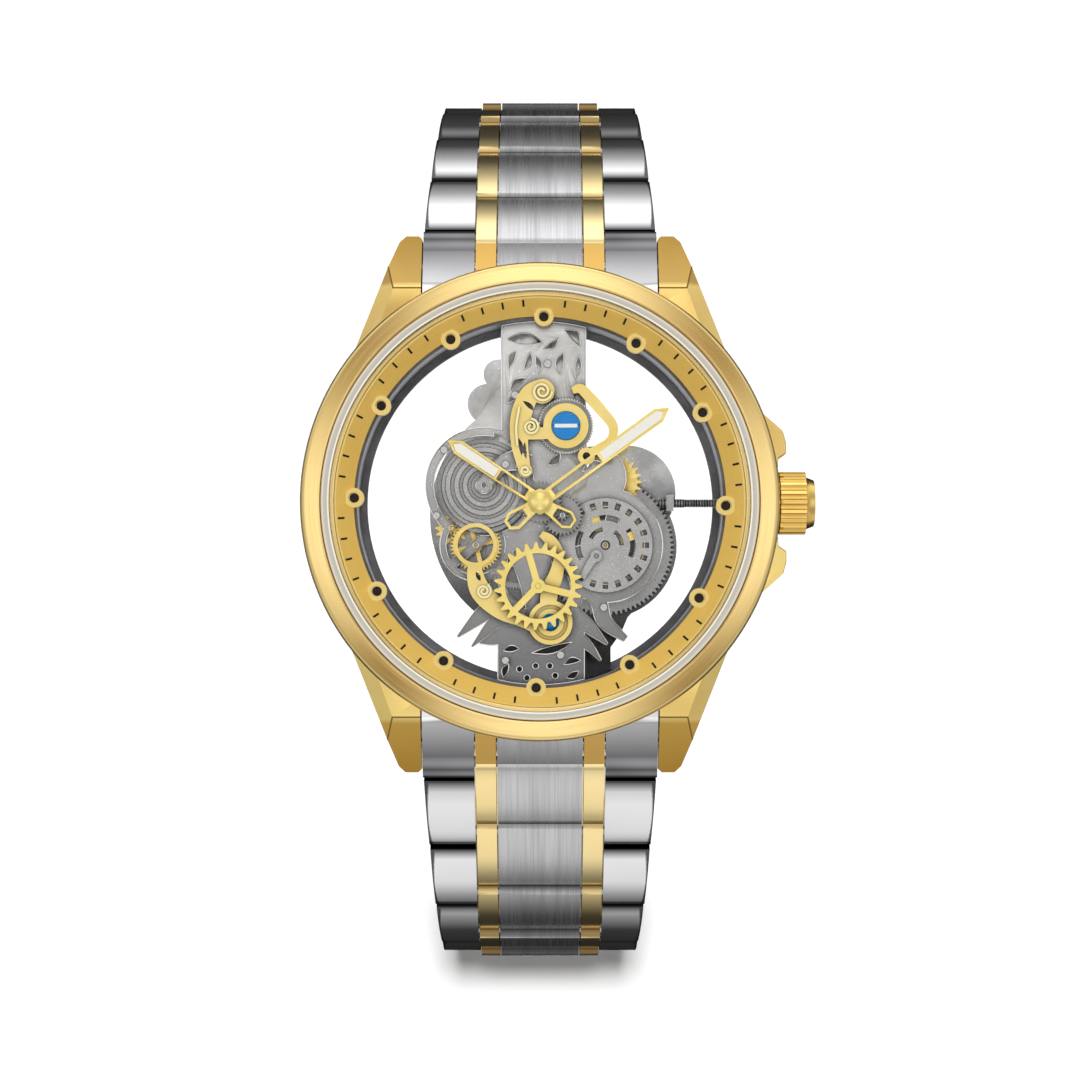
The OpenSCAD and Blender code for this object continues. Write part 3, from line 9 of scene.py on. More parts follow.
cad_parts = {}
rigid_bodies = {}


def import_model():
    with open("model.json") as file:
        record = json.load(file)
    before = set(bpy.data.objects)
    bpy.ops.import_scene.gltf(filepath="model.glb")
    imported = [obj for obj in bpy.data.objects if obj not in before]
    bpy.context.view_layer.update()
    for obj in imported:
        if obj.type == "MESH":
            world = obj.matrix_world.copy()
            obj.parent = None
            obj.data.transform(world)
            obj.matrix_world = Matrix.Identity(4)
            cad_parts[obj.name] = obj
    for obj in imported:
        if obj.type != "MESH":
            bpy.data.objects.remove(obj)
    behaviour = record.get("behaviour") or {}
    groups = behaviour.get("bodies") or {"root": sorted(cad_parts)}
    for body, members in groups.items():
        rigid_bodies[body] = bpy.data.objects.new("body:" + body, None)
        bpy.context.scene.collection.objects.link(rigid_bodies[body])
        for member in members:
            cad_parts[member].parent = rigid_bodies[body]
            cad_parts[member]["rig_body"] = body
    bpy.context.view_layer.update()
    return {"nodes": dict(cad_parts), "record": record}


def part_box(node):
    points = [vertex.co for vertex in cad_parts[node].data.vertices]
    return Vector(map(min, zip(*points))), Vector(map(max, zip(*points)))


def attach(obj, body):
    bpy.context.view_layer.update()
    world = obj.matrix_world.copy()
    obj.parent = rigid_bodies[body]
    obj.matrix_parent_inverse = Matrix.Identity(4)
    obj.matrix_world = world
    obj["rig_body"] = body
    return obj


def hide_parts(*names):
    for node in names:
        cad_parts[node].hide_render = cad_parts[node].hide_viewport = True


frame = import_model()
nodes = frame["nodes"]

# Sizes are in millimetres where they are multiplied by MM. A depth is counted down from the top of the bezel.

MM = 0.001
DIAL_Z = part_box("bezel")[1].z
CASE_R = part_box("bezel")[1].x


# Shader nodes

class Value:
    """A socket of one node tree that takes part in Python arithmetic."""

    def __init__(self, owner, socket):
        self.owner = owner
        self.socket = socket

    def maths(self, operation, *others):
        return self.owner.node("ShaderNodeMath", {"operation": operation}, (self, *others))

    def __add__(self, other):
        return self.maths("ADD", other)

    __radd__ = __add__

    def __sub__(self, other):
        return self.maths("SUBTRACT", other)

    def __rsub__(self, other):
        return self.owner.node("ShaderNodeMath", {"operation": "SUBTRACT"}, (other, self))

    def __mul__(self, other):
        return self.maths("MULTIPLY", other)

    __rmul__ = __mul__

    def __truediv__(self, other):
        return self.maths("DIVIDE", other)

    def __pow__(self, other):
        return self.maths("POWER", other)


class Shading:
    """A shader node tree under construction."""

    def __init__(self, owner):
        owner.use_nodes = True
        self.tree = owner.node_tree

    def node(self, kind, settings=None, inputs=(), output=0):
        made = self.tree.nodes.new(kind)
        for key, value in (settings or {}).items():
            if key == "stops":
                self.set_stops(made.color_ramp, value)
            else:
                setattr(made, key, value)
        pairs = inputs.items() if isinstance(inputs, dict) else enumerate(inputs)
        for key, value in pairs:
            self.feed(made.inputs[key], value)
        return Value(self, made.outputs[output])

    def set_stops(self, ramp, stops):
        """Stops are pairs of a place and a colour, or of a place and a level of grey."""
        while len(ramp.elements) < len(stops):
            ramp.elements.new(0.5)
        for element, (place, tone) in zip(ramp.elements, stops):
            colour = tone if isinstance(tone, tuple) else (tone, tone, tone)
            element.position = place
            element.color = (*colour, 1)

    def feed(self, socket, value):
        """Links a value to a socket, or sets the socket to a number or a colour."""
        if isinstance(value, Value):
            self.tree.links.new(value.socket, socket)
        elif isinstance(value, tuple):
            socket.default_value = (*value, 1)
        else:
            socket.default_value = value

    def axes(self, vector):
        split = self.node("ShaderNodeSeparateXYZ", None, (vector,))
        return [Value(self, out) for out in split.socket.node.outputs]

    def ramp(self, value, *stops):
        return self.node("ShaderNodeValToRGB", {"stops": stops}, (value,))

    def mix(self, factor, a, b):
        return self.node("ShaderNodeMix", {"data_type": "RGBA"}, {0: factor, 6: a, 7: b}, 2)


finish = {}


class Finish(Shading):
    """A material under construction, which finish then holds by its name."""

    def __init__(self, name):
        self.material = bpy.data.materials.new(name)
        finish[name] = self.material
        super().__init__(self.material)
        self.shader = self.tree.nodes["Principled BSDF"]

    def set(self, **values):
        for key, value in values.items():
            self.feed(self.shader.inputs[key.replace("_", " ")], value)

    def place(self):
        return self.node("ShaderNodeTexCoord", output="Object")

    def places(self):
        return self.axes(self.place())

    def point(self, x, y, z):
        return self.node("ShaderNodeCombineXYZ", None, (x, y, z))

    def noise(self, vector, scale, detail=3.0, roughness=0.55):
        return self.node("ShaderNodeTexNoise", None,
                         {"Vector": vector, "Scale": scale, "Detail": detail, "Roughness": roughness})

    def span(self, value, low, high, new_low, new_high):
        return self.node("ShaderNodeMapRange", None, (value, low, high, new_low, new_high))

    def clouded(self, colour, deep, scale, detail, share=1.0):
        """A slow cloud of tone between two colours."""
        cloud = self.noise(self.place(), scale, detail)
        return self.mix(self.span(cloud, 0.35, 0.65, 0.0, share), colour, deep)

    def uneven(self, noise, rough, low, high):
        """A roughness that a noise changes from low to high times its middle value."""
        return self.span(noise, 0.3, 0.7, rough * low, rough * high)

    def corners(self, reach, alone):
        """1 for a point in a corner or beside a step, and 0 where nothing stands within the reach."""
        open_sky = self.node("ShaderNodeAmbientOcclusion", {"samples": 8, "only_local": alone},
                             {"Distance": reach * MM}, "AO")
        return 1 - self.span(open_sky, 0.4, 1.0, 0.0, 1.0)

    def bump(self, height, strength, distance):
        return self.node("ShaderNodeBump", None,
                         {"Height": height, "Strength": strength, "Distance": distance * MM})


# Finishes

LINK_SHADE = (0.025, 0.025, 0.027)
LINK_END = "link_end"
TONE_FROM = 18
TONE_TO = 26
CORNER_REACH = 0.8
STEP_HALF = 0.02


def shaded_along_case(f, y, stops):
    """Painted light and shade by the distance from the case's middle. Two lists are for its lower and upper
    side.
    """
    far = f.span(y.maths("ABSOLUTE"), TONE_FROM * MM, TONE_TO * MM, 0.0, 1.0)
    if isinstance(stops[0], list):
        lower, upper = stops
        return f.mix(f.span(y, -MM, MM, 0.0, 1.0), f.ramp(far, *lower), f.ramp(far, *upper))
    return f.ramp(far, *stops)


def shaded_ends(f, tone, ends):
    """Paints shade on the ends and sides of a link, where they fall dark. Ends gives where that starts, out
    of 1, and the tone.
    """
    end_shade_mask = f.node("ShaderNodeAttribute", {"attribute_name": LINK_END}, output="Fac")
    return f.mix(f.span(end_shade_mask, ends[0], 0.98, 0.0, 0.92), tone, ends[1])


def polished(name, colour, deep, rough, ends=None):
    """Polished metal: faint hairlines and a slow change of tone. A list of colours paints light and shade
    along the case.
    """
    f = Finish(name)
    x, y, z = f.places()
    if isinstance(colour, list):
        colour = shaded_along_case(f, y, colour)
    lines = f.noise(f.point(x * 4, y, z * 2), 3600.0)
    tone = f.clouded(colour, deep, 90.0, 2.0, 0.35)
    # Painted shade on a link's ends and sides.
    if ends:
        tone = shaded_ends(f, tone, ends)
    f.set(Base_Color=tone, Metallic=1.0, Roughness=f.uneven(lines, rough, 0.8, 1.25))
    f.set(Normal=f.bump(lines, 0.02, 0.02))


def brushed_round(name, colour, deep, rough, grain=0.0, metallic=1.0):
    """Metal brushed in circles about the middle of the case."""
    f = Finish(name)
    x, y, z = f.places()
    fine = 9000.0
    radius = (x * x + y * y) ** 0.5
    turn = y.maths("ARCTAN2", x)
    lines = f.noise(f.point(radius * fine, turn * 3, z * fine), 1.0, 4.0, 0.65)
    broad = f.noise(f.point(radius * fine * 0.2, turn * 1.5, 0.0), 1.0, 2.0)
    f.set(Base_Color=f.mix(f.span(lines, 0.25, 0.75, 0.0, 0.6), colour, deep), Metallic=metallic)
    f.set(Roughness=f.span(lines + broad, 0.7, 1.3, rough * 0.8, rough * 1.3))
    f.set(Normal=f.bump(lines, 0.12, 0.03), Anisotropic=grain, Anisotropic_Rotation=0.25)


def brushed_long(name, colour, deep, rough, ends=None):
    """Metal brushed along the bracelet: the lines cross x and run round the loop."""
    f = Finish(name)
    x, y, z = f.places()
    fine = 7000.0
    # A list of colours paints light and shade along the case.
    if isinstance(colour, list):
        colour = shaded_along_case(f, y, colour)
    lines = f.noise(f.point(x * fine, y * 60, z * 60), 1.0, 4.0, 0.65)
    broad = f.noise(f.point(x * fine * 0.15, y * 40, z * 40), 1.0, 2.0)
    tone = f.mix(f.span(lines + broad, 0.7, 1.3, 0.0, 0.8), colour, deep)
    # Painted shade on a link's ends and sides.
    if ends:
        tone = shaded_ends(f, tone, ends)
    f.set(Base_Color=tone, Metallic=1.0, Roughness=f.uneven(lines, rough, 0.8, 1.25))
    f.set(Normal=f.bump(lines, 0.15, 0.03))


def frosted(name, colour, deep, rough):
    """Fine matt metal with a slow cloud of tone."""
    f = Finish(name)
    fine = f.noise(f.place(), 10400.0, 2.0)
    f.set(Base_Color=f.clouded(colour, deep, 260.0, 3.0), Metallic=1.0)
    f.set(Roughness=f.uneven(fine, rough, 0.85, 1.2), Normal=f.bump(fine, 0.06, 0.02))


def worked(name, colour, deep, corner_shade, rough, metallic=0.6, raised=None, shade_along_y=None, alone=False):
    """Metal of the movement and the crown: a slow cloud of tone, with painted shade in its corners and beside
    steps.

    A raised highlight gives a depth and the lighter tone painted above it. A shade along y gives two places
    on y and the tone of painted shade at the second.
    """
    f = Finish(name)
    _, y, z = f.places()
    fine = f.noise(f.place(), 4000.0, 2.0)
    tone = f.clouded(colour, deep, 260.0, 3.0)
    if shade_along_y:
        tone = f.mix(f.span(y, shade_along_y[0] * MM, shade_along_y[1] * MM, 0.0, 1.0), tone, shade_along_y[2])
    if raised:
        level = DIAL_Z - raised[0] * MM
        above = f.span(z, level - STEP_HALF * MM, level + STEP_HALF * MM, 0.0, 1.0)
        tone = f.mix(above, tone, raised[1])
    f.set(Base_Color=f.mix(f.corners(CORNER_REACH, alone), tone, corner_shade), Metallic=metallic)
    f.set(Roughness=f.uneven(fine, rough, 0.85, 1.2))


def threaded(name, colour, deep, pitch):
    """A fine screw thread along x, with painted shade in its troughs."""
    f = Finish(name)
    x, _, _ = f.places()
    wave = (x * (2 * math.pi / (pitch * MM))).maths("SINE")
    f.set(Base_Color=f.mix(f.span(wave, -0.6, 0.6, 0.0, 1.0), colour, deep), Metallic=0.8, Roughness=0.3)
    f.set(Normal=f.bump(wave, 0.5, 0.05))


def shaded_ring(name, inner, outer, rough, *stops):
    """A turned ring with bands of painted highlight and shade from its inner to its outer edge."""
    f = Finish(name)
    x, y, _ = f.places()
    radius = (x * x + y * y) ** 0.5
    grain = f.noise(f.place(), 2000.0, 2.0)
    f.set(Base_Color=f.ramp(f.span(radius, inner * MM, outer * MM, 0.0, 1.0), *stops))
    f.set(Roughness=f.uneven(grain, rough, 0.8, 1.2), Coat_Weight=0.3)


def enamel(name, colour, rough, coat=0.0, painted_glow=0.0):
    """Opaque filling or paint with a fine grain. Any light it gives off is painted light."""
    f = Finish(name)
    fine = f.noise(f.place(), 1500.0)
    darker = tuple(c * 0.86 for c in colour)
    f.set(Base_Color=f.mix(fine, colour, darker), Roughness=f.uneven(fine, rough, 0.85, 1.15))
    f.set(Coat_Weight=coat, Normal=f.bump(fine, 0.05, 0.01), Specular_IOR_Level=0.5 if coat else 0.15)
    if painted_glow:
        f.set(Emission_Color=(1, 1, 1), Emission_Strength=painted_glow)


def blued(name, colour, deep, rough):
    """Heat-blued polished steel."""
    f = Finish(name)
    x, y, z = f.places()
    lines = f.noise(f.point(x * 300, y * 4000, z * 300), 1.0)
    f.set(Base_Color=f.mix(lines, colour, deep), Metallic=0.35, Roughness=f.uneven(lines, rough, 1.0, 1.4))
    f.set(Coat_Weight=0.3, Normal=f.bump(lines, 0.05, 0.02))


def clear_glass(name, tint, gloss):
    """Clear crystal: see-through, with a gloss that grows where it is seen at a slant."""
    f = Finish(name)
    slant = f.node("ShaderNodeLayerWeight", None, {"Blend": 0.5}, "Facing")
    f.set(Base_Color=tint, Roughness=0.02, Alpha=slant ** 5 * gloss + 0.03, Metallic=0.0)
    f.material.use_transparent_shadow = True


# Tones along the case for the lugs and end links: painted light near the bezel and painted shade towards
# their ends.
LOWER_LUG_SHADING = [(0.0, (0.97, 0.75, 0.27)), (0.25, (0.97, 0.74, 0.26)), (0.3, (0.70, 0.43, 0.095)),
              (0.9, (0.48, 0.27, 0.04))]
UPPER_LUG_SHADING = [(0.0, (0.90, 0.66, 0.24)), (0.25, (0.97, 0.74, 0.26)), (0.3, (0.53, 0.35, 0.11)),
              (0.9, (0.36, 0.215, 0.045))]
END_WING_SHADING = [(0.2, (0.86, 0.86, 0.87)), (0.5, (0.5, 0.5, 0.51)), (0.82, (0.13, 0.13, 0.135))]
END_CENTRE_SHADING = [(0.5, (0.72, 0.72, 0.73)), (0.8, (0.18, 0.18, 0.185))]
# Painted highlight and shade in bands across the pale ring.
PALE_RING_SHADING = [(0.0, (0.20, 0.13, 0.05)), (0.08, (0.88, 0.86, 0.78)), (0.17, (0.84, 0.82, 0.76)),
              (0.27, (0.46, 0.43, 0.36)), (0.66, (0.52, 0.49, 0.41)), (0.78, (0.70, 0.67, 0.58)),
              (0.88, (0.62, 0.56, 0.42)), (1.0, (0.38, 0.20, 0.04))]

polished("gold_polished", (0.91, 0.57, 0.16), (0.84, 0.49, 0.115), 0.16)
polished("gold_case", [LOWER_LUG_SHADING, UPPER_LUG_SHADING], (0.70, 0.42, 0.095), 0.18)
brushed_round("gold_bezel", (0.96, 0.73, 0.32), (0.92, 0.66, 0.25), 0.22, grain=0.7)
brushed_round("gold_ring", (0.88, 0.58, 0.13), (0.80, 0.50, 0.10), 0.42, metallic=0.3)
# Worked finishes take a third colour, which is painted shade in their corners and beside steps.
worked("gold_crown", (0.98, 0.70, 0.22), (0.92, 0.60, 0.15), (0.34, 0.14, 0.01), 0.12, 1.0)
worked("gold_gilt", (0.92, 0.72, 0.24), (0.86, 0.64, 0.19), (0.17, 0.10, 0.03), 0.26)
# The raised tops of the cocks take a painted highlight.
worked("gold_cock", (0.92, 0.73, 0.27), (0.86, 0.65, 0.20), (0.11, 0.06, 0.015), 0.20,
       raised=(3.40, (0.98, 0.86, 0.46)))
worked("gold_wheel", (0.96, 0.78, 0.25), (0.90, 0.69, 0.19), (0.22, 0.13, 0.03), 0.22)
polished("gold_boss", (0.98, 0.76, 0.28), (0.92, 0.66, 0.20), 0.30)
worked("gold_hand", (0.96, 0.78, 0.27), (0.91, 0.70, 0.21), (0.35, 0.22, 0.05), 0.20, alone=True)
enamel("gold_crease_shade", (0.20, 0.11, 0.025), 0.5)
# The links take painted shade at their ends and sides.
polished("steel_polished", (0.80, 0.80, 0.81), (0.70, 0.70, 0.71), 0.12, ends=(0.74, LINK_SHADE))
polished("gold_strip", (0.98, 0.79, 0.40), (0.92, 0.66, 0.26), 0.16, ends=(0.86, (0.14, 0.07, 0.01)))
brushed_long("steel_brushed", (0.64, 0.64, 0.65), (0.42, 0.42, 0.43), 0.26, ends=(0.86, LINK_SHADE))
polished("end_polished", END_WING_SHADING, (0.4, 0.4, 0.41), 0.12)
brushed_long("end_brushed", END_CENTRE_SHADING, (0.34, 0.34, 0.35), 0.30)
# The bridge and the plate are painted darker towards -y, a painted shade.
worked("steel_bridge", (0.74, 0.74, 0.73), (0.58, 0.58, 0.57), (0.03, 0.03, 0.032), 0.22, 0.85,
       shade_along_y=(14, -16, (0.20, 0.20, 0.205)))
# Bright polished chamfers, made paler than the steel as a painted highlight.
polished("steel_edge", (0.96, 0.96, 0.95), (0.80, 0.80, 0.80), 0.14)
worked("steel_disc", (0.47, 0.47, 0.465), (0.39, 0.39, 0.39), (0.05, 0.05, 0.052), 0.28)
worked("steel_train", (0.34, 0.34, 0.34), (0.27, 0.27, 0.275), (0.04, 0.04, 0.042), 0.30)
polished("steel_bright", (0.72, 0.72, 0.72), (0.58, 0.58, 0.59), 0.22)
worked("steel_plate", (0.72, 0.72, 0.71), (0.44, 0.44, 0.445), (0.02, 0.02, 0.022), 0.16, 0.85,
       shade_along_y=(7, -12, (0.02, 0.02, 0.021)))
frosted("steel_wall", (0.20, 0.20, 0.215), (0.13, 0.13, 0.14), 0.42)
threaded("steel_thread", (0.34, 0.34, 0.35), (0.04, 0.04, 0.042), 0.25)
blued("blue_screw", (0.003, 0.24, 0.66), (0.002, 0.18, 0.54), 0.25)
blued("blue_stone", (0.01, 0.06, 0.25), (0.0, 0.25, 0.45), 0.08)
enamel("white_fill", (0.88, 0.86, 0.77), 0.5)
enamel("black_mark", (0.014, 0.011, 0.009), 0.45)
shaded_ring("pale_seal", 19.27, 20.07, 0.25, *PALE_RING_SHADING)
enamel("black_seal", (0.02, 0.02, 0.02), 0.6)
clear_glass("crystal", (0.03, 0.03, 0.03), 0.8)
# The back window glows a little, painted light that keeps it white.
enamel("back_window", (0.96, 0.96, 0.95), 0.35, coat=0.2, painted_glow=0.35)


# Mesh makers

MERGE = 1e-7
FLAT_ANGLE = 0.6


def new_object(name, mesh, *finishes):
    made = bpy.data.objects.new(name, mesh)
    bpy.context.scene.collection.objects.link(made)
    mesh.materials.clear()
    for key in finishes:
        mesh.materials.append(finish[key])
    return made


def stands_for(made, node):
    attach(made, nodes[node]["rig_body"])
    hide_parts(node)
    return made


def mesh_of(bm, name):
    """A new mesh from a bmesh, which is used up."""
    mesh = bpy.data.meshes.new(name)
    bm.to_mesh(mesh)
    bm.free()
    return mesh


def merged(mesh):
    """The loose triangles of a CAD mesh joined up, with each flat face made whole."""
    bm = bmesh.new()
    bm.from_mesh(mesh)
    bmesh.ops.remove_doubles(bm, verts=bm.verts, dist=MERGE)
    bmesh.ops.dissolve_limit(bm, angle_limit=math.radians(FLAT_ANGLE), verts=bm.verts, edges=bm.edges)
    return bm


def cut(bm, place, across):
    """Splits the faces that a plane passes through."""
    bmesh.ops.bisect_plane(bm, geom=bm.verts[:] + bm.edges[:] + bm.faces[:], plane_co=place,
                           plane_no=across, dist=MERGE)


def middle_of(edge):
    return (edge.verts[0].co + edge.verts[1].co) / 2


def smooth(mesh, angle=35.0):
    for face in mesh.polygons:
        face.use_smooth = True
    mesh.set_sharp_from_angle(angle=math.radians(angle))


def round_edges(obj, width, segments=2):
    bevel = obj.modifiers.new("rounded", "BEVEL")
    bevel.width = width * MM
    bevel.segments = segments
    bevel.harden_normals = True
    return bevel


def dressed(node, width, *finishes, choose=None, shape=None, segments=2, angle=28.0, crease=35.0,
            soft=None, edge_finish=-1):
    """A copy of a CAD node with rounded edges and its own finish, which stands for the node.

    Choose picks a finish for a face, shape changes the mesh, and soft says how round an edge is, up to 1.
    """
    mesh = nodes[node].data.copy()
    made = new_object(node + "_dressed", mesh, *finishes)
    bm = merged(mesh)
    if shape:
        shape(bm)
    for face in bm.faces:
        face.material_index = choose(face.calc_center_median(), face.normal) if choose else 0
    if soft:
        weight = bm.edges.layers.float.new("bevel_weight_edge")
        for edge in bm.edges:
            if edge.calc_face_angle(0) > math.radians(angle):
                edge[weight] = soft(middle_of(edge))
    bm.to_mesh(mesh)
    bm.free()
    smooth(mesh, crease)
    bevel = round_edges(made, width, segments)
    bevel.limit_method = "WEIGHT" if soft else "ANGLE"
    bevel.angle_limit = math.radians(angle)
    bevel.material = edge_finish
    bevel.miter_outer = "MITER_ARC"
    return stands_for(made, node)


def paint(key, *names):
    """Gives CAD nodes that keep their shape a finish."""
    for name in names:
        mesh = nodes[name].data
        mesh.materials.clear()
        mesh.materials.append(finish[key])
        for face in mesh.polygons:
            face.material_index = 0


def rounded(points, radius, steps=4):
    """A closed outline with its corners rounded; a point may carry its own radius."""
    out = []
    count = len(points)
    for i, point in enumerate(points):
        r = point[2] if len(point) > 2 else radius
        here = Vector(point[:2])
        back = Vector(points[i - 1][:2]) - here
        on = Vector(points[(i + 1) % count][:2]) - here
        reach = min(r, back.length * 0.45, on.length * 0.45)
        a = here + back.normalized() * reach
        b = here + on.normalized() * reach
        for s in range(steps + 1):
            t = s / steps
            out.append(a * (1 - t) ** 2 + here * 2 * t * (1 - t) + b * t * t)
    return out


def lathe(name, outline, key, segments=240, centre=(0.0, 0.0)):
    """A ring turned from points of radius and depth."""
    bm = bmesh.new()
    rings = []
    for s in range(segments):
        a = 2 * math.pi * s / segments
        ring = []
        for radius, depth in outline:
            x = centre[0] + radius * math.cos(a)
            y = centre[1] + radius * math.sin(a)
            ring.append(bm.verts.new((x * MM, y * MM, DIAL_Z - depth * MM)))
        rings.append(ring)
    count = len(outline)
    for s in range(segments):
        here = rings[s]
        after = rings[(s + 1) % segments]
        for i in range(count):
            j = (i + 1) % count
            bm.faces.new((here[i], here[j], after[j], after[i]))
    bmesh.ops.remove_doubles(bm, verts=bm.verts, dist=1e-8)
    bmesh.ops.recalc_face_normals(bm, faces=bm.faces)
    mesh = mesh_of(bm, name)
    made = new_object(name, mesh, key)
    smooth(mesh, 40)
    return made


def plate_mesh(name, outline, top, under, turn=0.0, centre=(0.0, 0.0)):
    """A flat plate from an outline, between two depths."""
    bm = bmesh.new()
    spin = Matrix.Rotation(math.radians(turn), 2)
    flat = [spin @ Vector(p[:2]) + Vector(centre) for p in outline]
    low = [bm.verts.new((p.x * MM, p.y * MM, DIAL_Z - under * MM)) for p in flat]
    high = [bm.verts.new((p.x * MM, p.y * MM, DIAL_Z - top * MM)) for p in flat]
    bm.faces.new(low[::-1])
    bm.faces.new(high)
    for i in range(len(flat)):
        j = (i + 1) % len(flat)
        bm.faces.new((low[i], low[j], high[j], high[i]))
    bmesh.ops.recalc_face_normals(bm, faces=bm.faces)
    return mesh_of(bm, name)


def plate(name, outline, top, under, key, edge=0.0, **where):
    made = new_object(name, plate_mesh(name, outline, top, under, **where), key)
    if edge:
        round_edges(made, edge)
        smooth(made.data)
    return made


def little_shape(name, outline, top, under, lift=0.0):
    """A small solid about the origin, for repeating. It leans up by lift degrees along +x."""
    mesh = plate_mesh(name, outline, top, under)
    mesh.transform(Matrix.Translation((0, 0, -DIAL_Z)))
    mesh.transform(Matrix.Rotation(math.radians(-lift), 4, "Y"))
    return new_object(name, mesh)


def oblong(length, width):
    x = length / 2
    y = width / 2
    return [(-x, -y), (x, -y), (x, y), (-x, y)]


def disc(radius, count=32):
    turns = [2 * math.pi * i / count for i in range(count)]
    return [(radius * math.cos(turn), radius * math.sin(turn)) for turn in turns]


# Repeats round an axis, made with geometry nodes

def repeat_tree():
    """Copies a shape round an axis, every Step degrees from Start. It leaves out place 0 and each Skip-th."""
    tree = bpy.data.node_groups.new("repeat_round", "GeometryNodeTree")
    kinds = {"Shape": "NodeSocketObject", "Count": "NodeSocketInt", "Radius": "NodeSocketFloat",
             "Start": "NodeSocketFloat", "Step": "NodeSocketFloat", "Skip": "NodeSocketInt",
             "Finish": "NodeSocketMaterial"}
    for name, kind in kinds.items():
        tree.interface.new_socket(name, in_out="INPUT", socket_type=kind)
    tree.interface.new_socket("Geometry", in_out="OUTPUT", socket_type="NodeSocketGeometry")
    given = tree.nodes.new("NodeGroupInput").outputs

    def add(kind, output=0, operation=None, **inputs):
        made = tree.nodes.new(kind)
        if operation:
            made.operation = operation
        for key, value in inputs.items():
            socket = made.inputs[int(key[1:])] if key[1:].isdigit() else made.inputs[key]
            if isinstance(value, bpy.types.NodeSocket):
                tree.links.new(value, socket)
            else:
                socket.default_value = value
        return made.outputs[output]

    def maths(operation, *values):
        return add("ShaderNodeMath", 0, operation, **{f"i{n}": v for n, v in enumerate(values)})

    index = add("GeometryNodeInputIndex")
    turn = maths("RADIANS", maths("MULTIPLY_ADD", index, given["Step"], given["Start"]))
    place = add("ShaderNodeCombineXYZ", X=maths("MULTIPLY", maths("COSINE", turn), given["Radius"]),
                Y=maths("MULTIPLY", maths("SINE", turn), given["Radius"]))
    points = add("GeometryNodePoints", Count=given["Count"], Position=place)
    kept = maths("GREATER_THAN", maths("MODULO", index, given["Skip"]), 0.5)
    shape = add("GeometryNodeObjectInfo", "Geometry", Object=given["Shape"])
    turned = add("ShaderNodeCombineXYZ", Z=turn)
    copies = add("GeometryNodeInstanceOnPoints", Points=points, Selection=kept, Instance=shape,
                 Rotation=turned)
    solid = add("GeometryNodeRealizeInstances", Geometry=copies)
    done = add("GeometryNodeSetMaterial", Geometry=solid, Material=given["Finish"])
    tree.links.new(done, tree.nodes.new("NodeGroupOutput").inputs[0])
    return tree


REPEAT = repeat_tree()
NEVER_SKIP = 1000000


def repeated(name, shape, key, count, radius, depth, start, step, skip=NEVER_SKIP):
    """A ring of one shape about the middle of the case, as a plain mesh. The shape is used up."""
    made = new_object(name, bpy.data.meshes.new(name))
    modifier = made.modifiers.new("repeat", "NODES")
    modifier.node_group = REPEAT
    values = {"Shape": shape, "Count": count + 1, "Radius": radius * MM, "Start": start, "Step": step,
              "Skip": skip, "Finish": finish[key]}
    for item in REPEAT.interface.items_tree:
        if item.in_out == "INPUT":
            modifier[item.identifier] = values[item.name]
    graph = bpy.context.evaluated_depsgraph_get()
    mesh = bpy.data.meshes.new_from_object(made.evaluated_get(graph), preserve_all_data_layers=True,
                                           depsgraph=graph)
    made.modifiers.clear()
    made.data = mesh
    mesh.transform(Matrix.Translation((0, 0, DIAL_Z - depth * MM)))
    bpy.data.objects.remove(shape)
    return made


# Case: outlines of radius, depth and, at some corners, how round they are

BEZEL = [(20.09, 0.1), (20.27, 0.0), (21.72, 0.3, 0.25), (22.0, 0.8, 0.3), (22.0, 1.9), (21.7, 2.2),
         (18.9, 2.2), (18.9, 1.2), (20.09, 1.2)]
CRYSTAL = [(0.0, -0.3, 0), (18.9, -0.3), (19.25, 0.05), (19.25, 1.16), (0.0, 1.16, 0)]
PALE_RING = [(19.27, 0.0), (19.97, 0.0), (20.07, 0.1), (20.07, 1.2), (19.27, 1.2)]
BACK_WINDOW = [(0.0, 8.4, 0), (16.4, 8.4), (16.4, 9.3), (0.0, 9.3, 0)]
CASE_BACK = [(16.42, 8.3), (18.93, 8.3), (18.93, 8.6), (20.7, 8.6), (20.7, 9.5, 0.3), (20.1, 9.9, 0.3),
             (15.8, 9.9), (15.8, 9.3), (16.42, 9.3)]

stands_for(lathe("bezel_ring", rounded(BEZEL, 0.12), "gold_bezel"), "bezel")
stands_for(lathe("front_crystal", rounded(CRYSTAL, 0.15), "crystal"), "crystal")
stands_for(lathe("pale_ring", rounded(PALE_RING, 0.06), "pale_seal"), "crystal_gasket")
stands_for(lathe("back_window", rounded(BACK_WINDOW, 0.05), "back_window"), "back_crystal")
stands_for(lathe("case_back_ring", rounded(CASE_BACK, 0.08), "steel_polished"), "case_back")

GUARD_FROM = CASE_R - 0.4 * MM
LUG_TIP_FROM = 23.8 * MM


def case_edge(middle):
    """How round an edge of the case is: full at the crown guards, half at the lug tips."""
    if middle.x > GUARD_FROM:
        return 1.0
    return 0.5 if abs(middle.y) > LUG_TIP_FROM else 0.12


dressed("case_body", 1.1, "gold_case", segments=4, angle=22.0, crease=20.0, soft=case_edge)


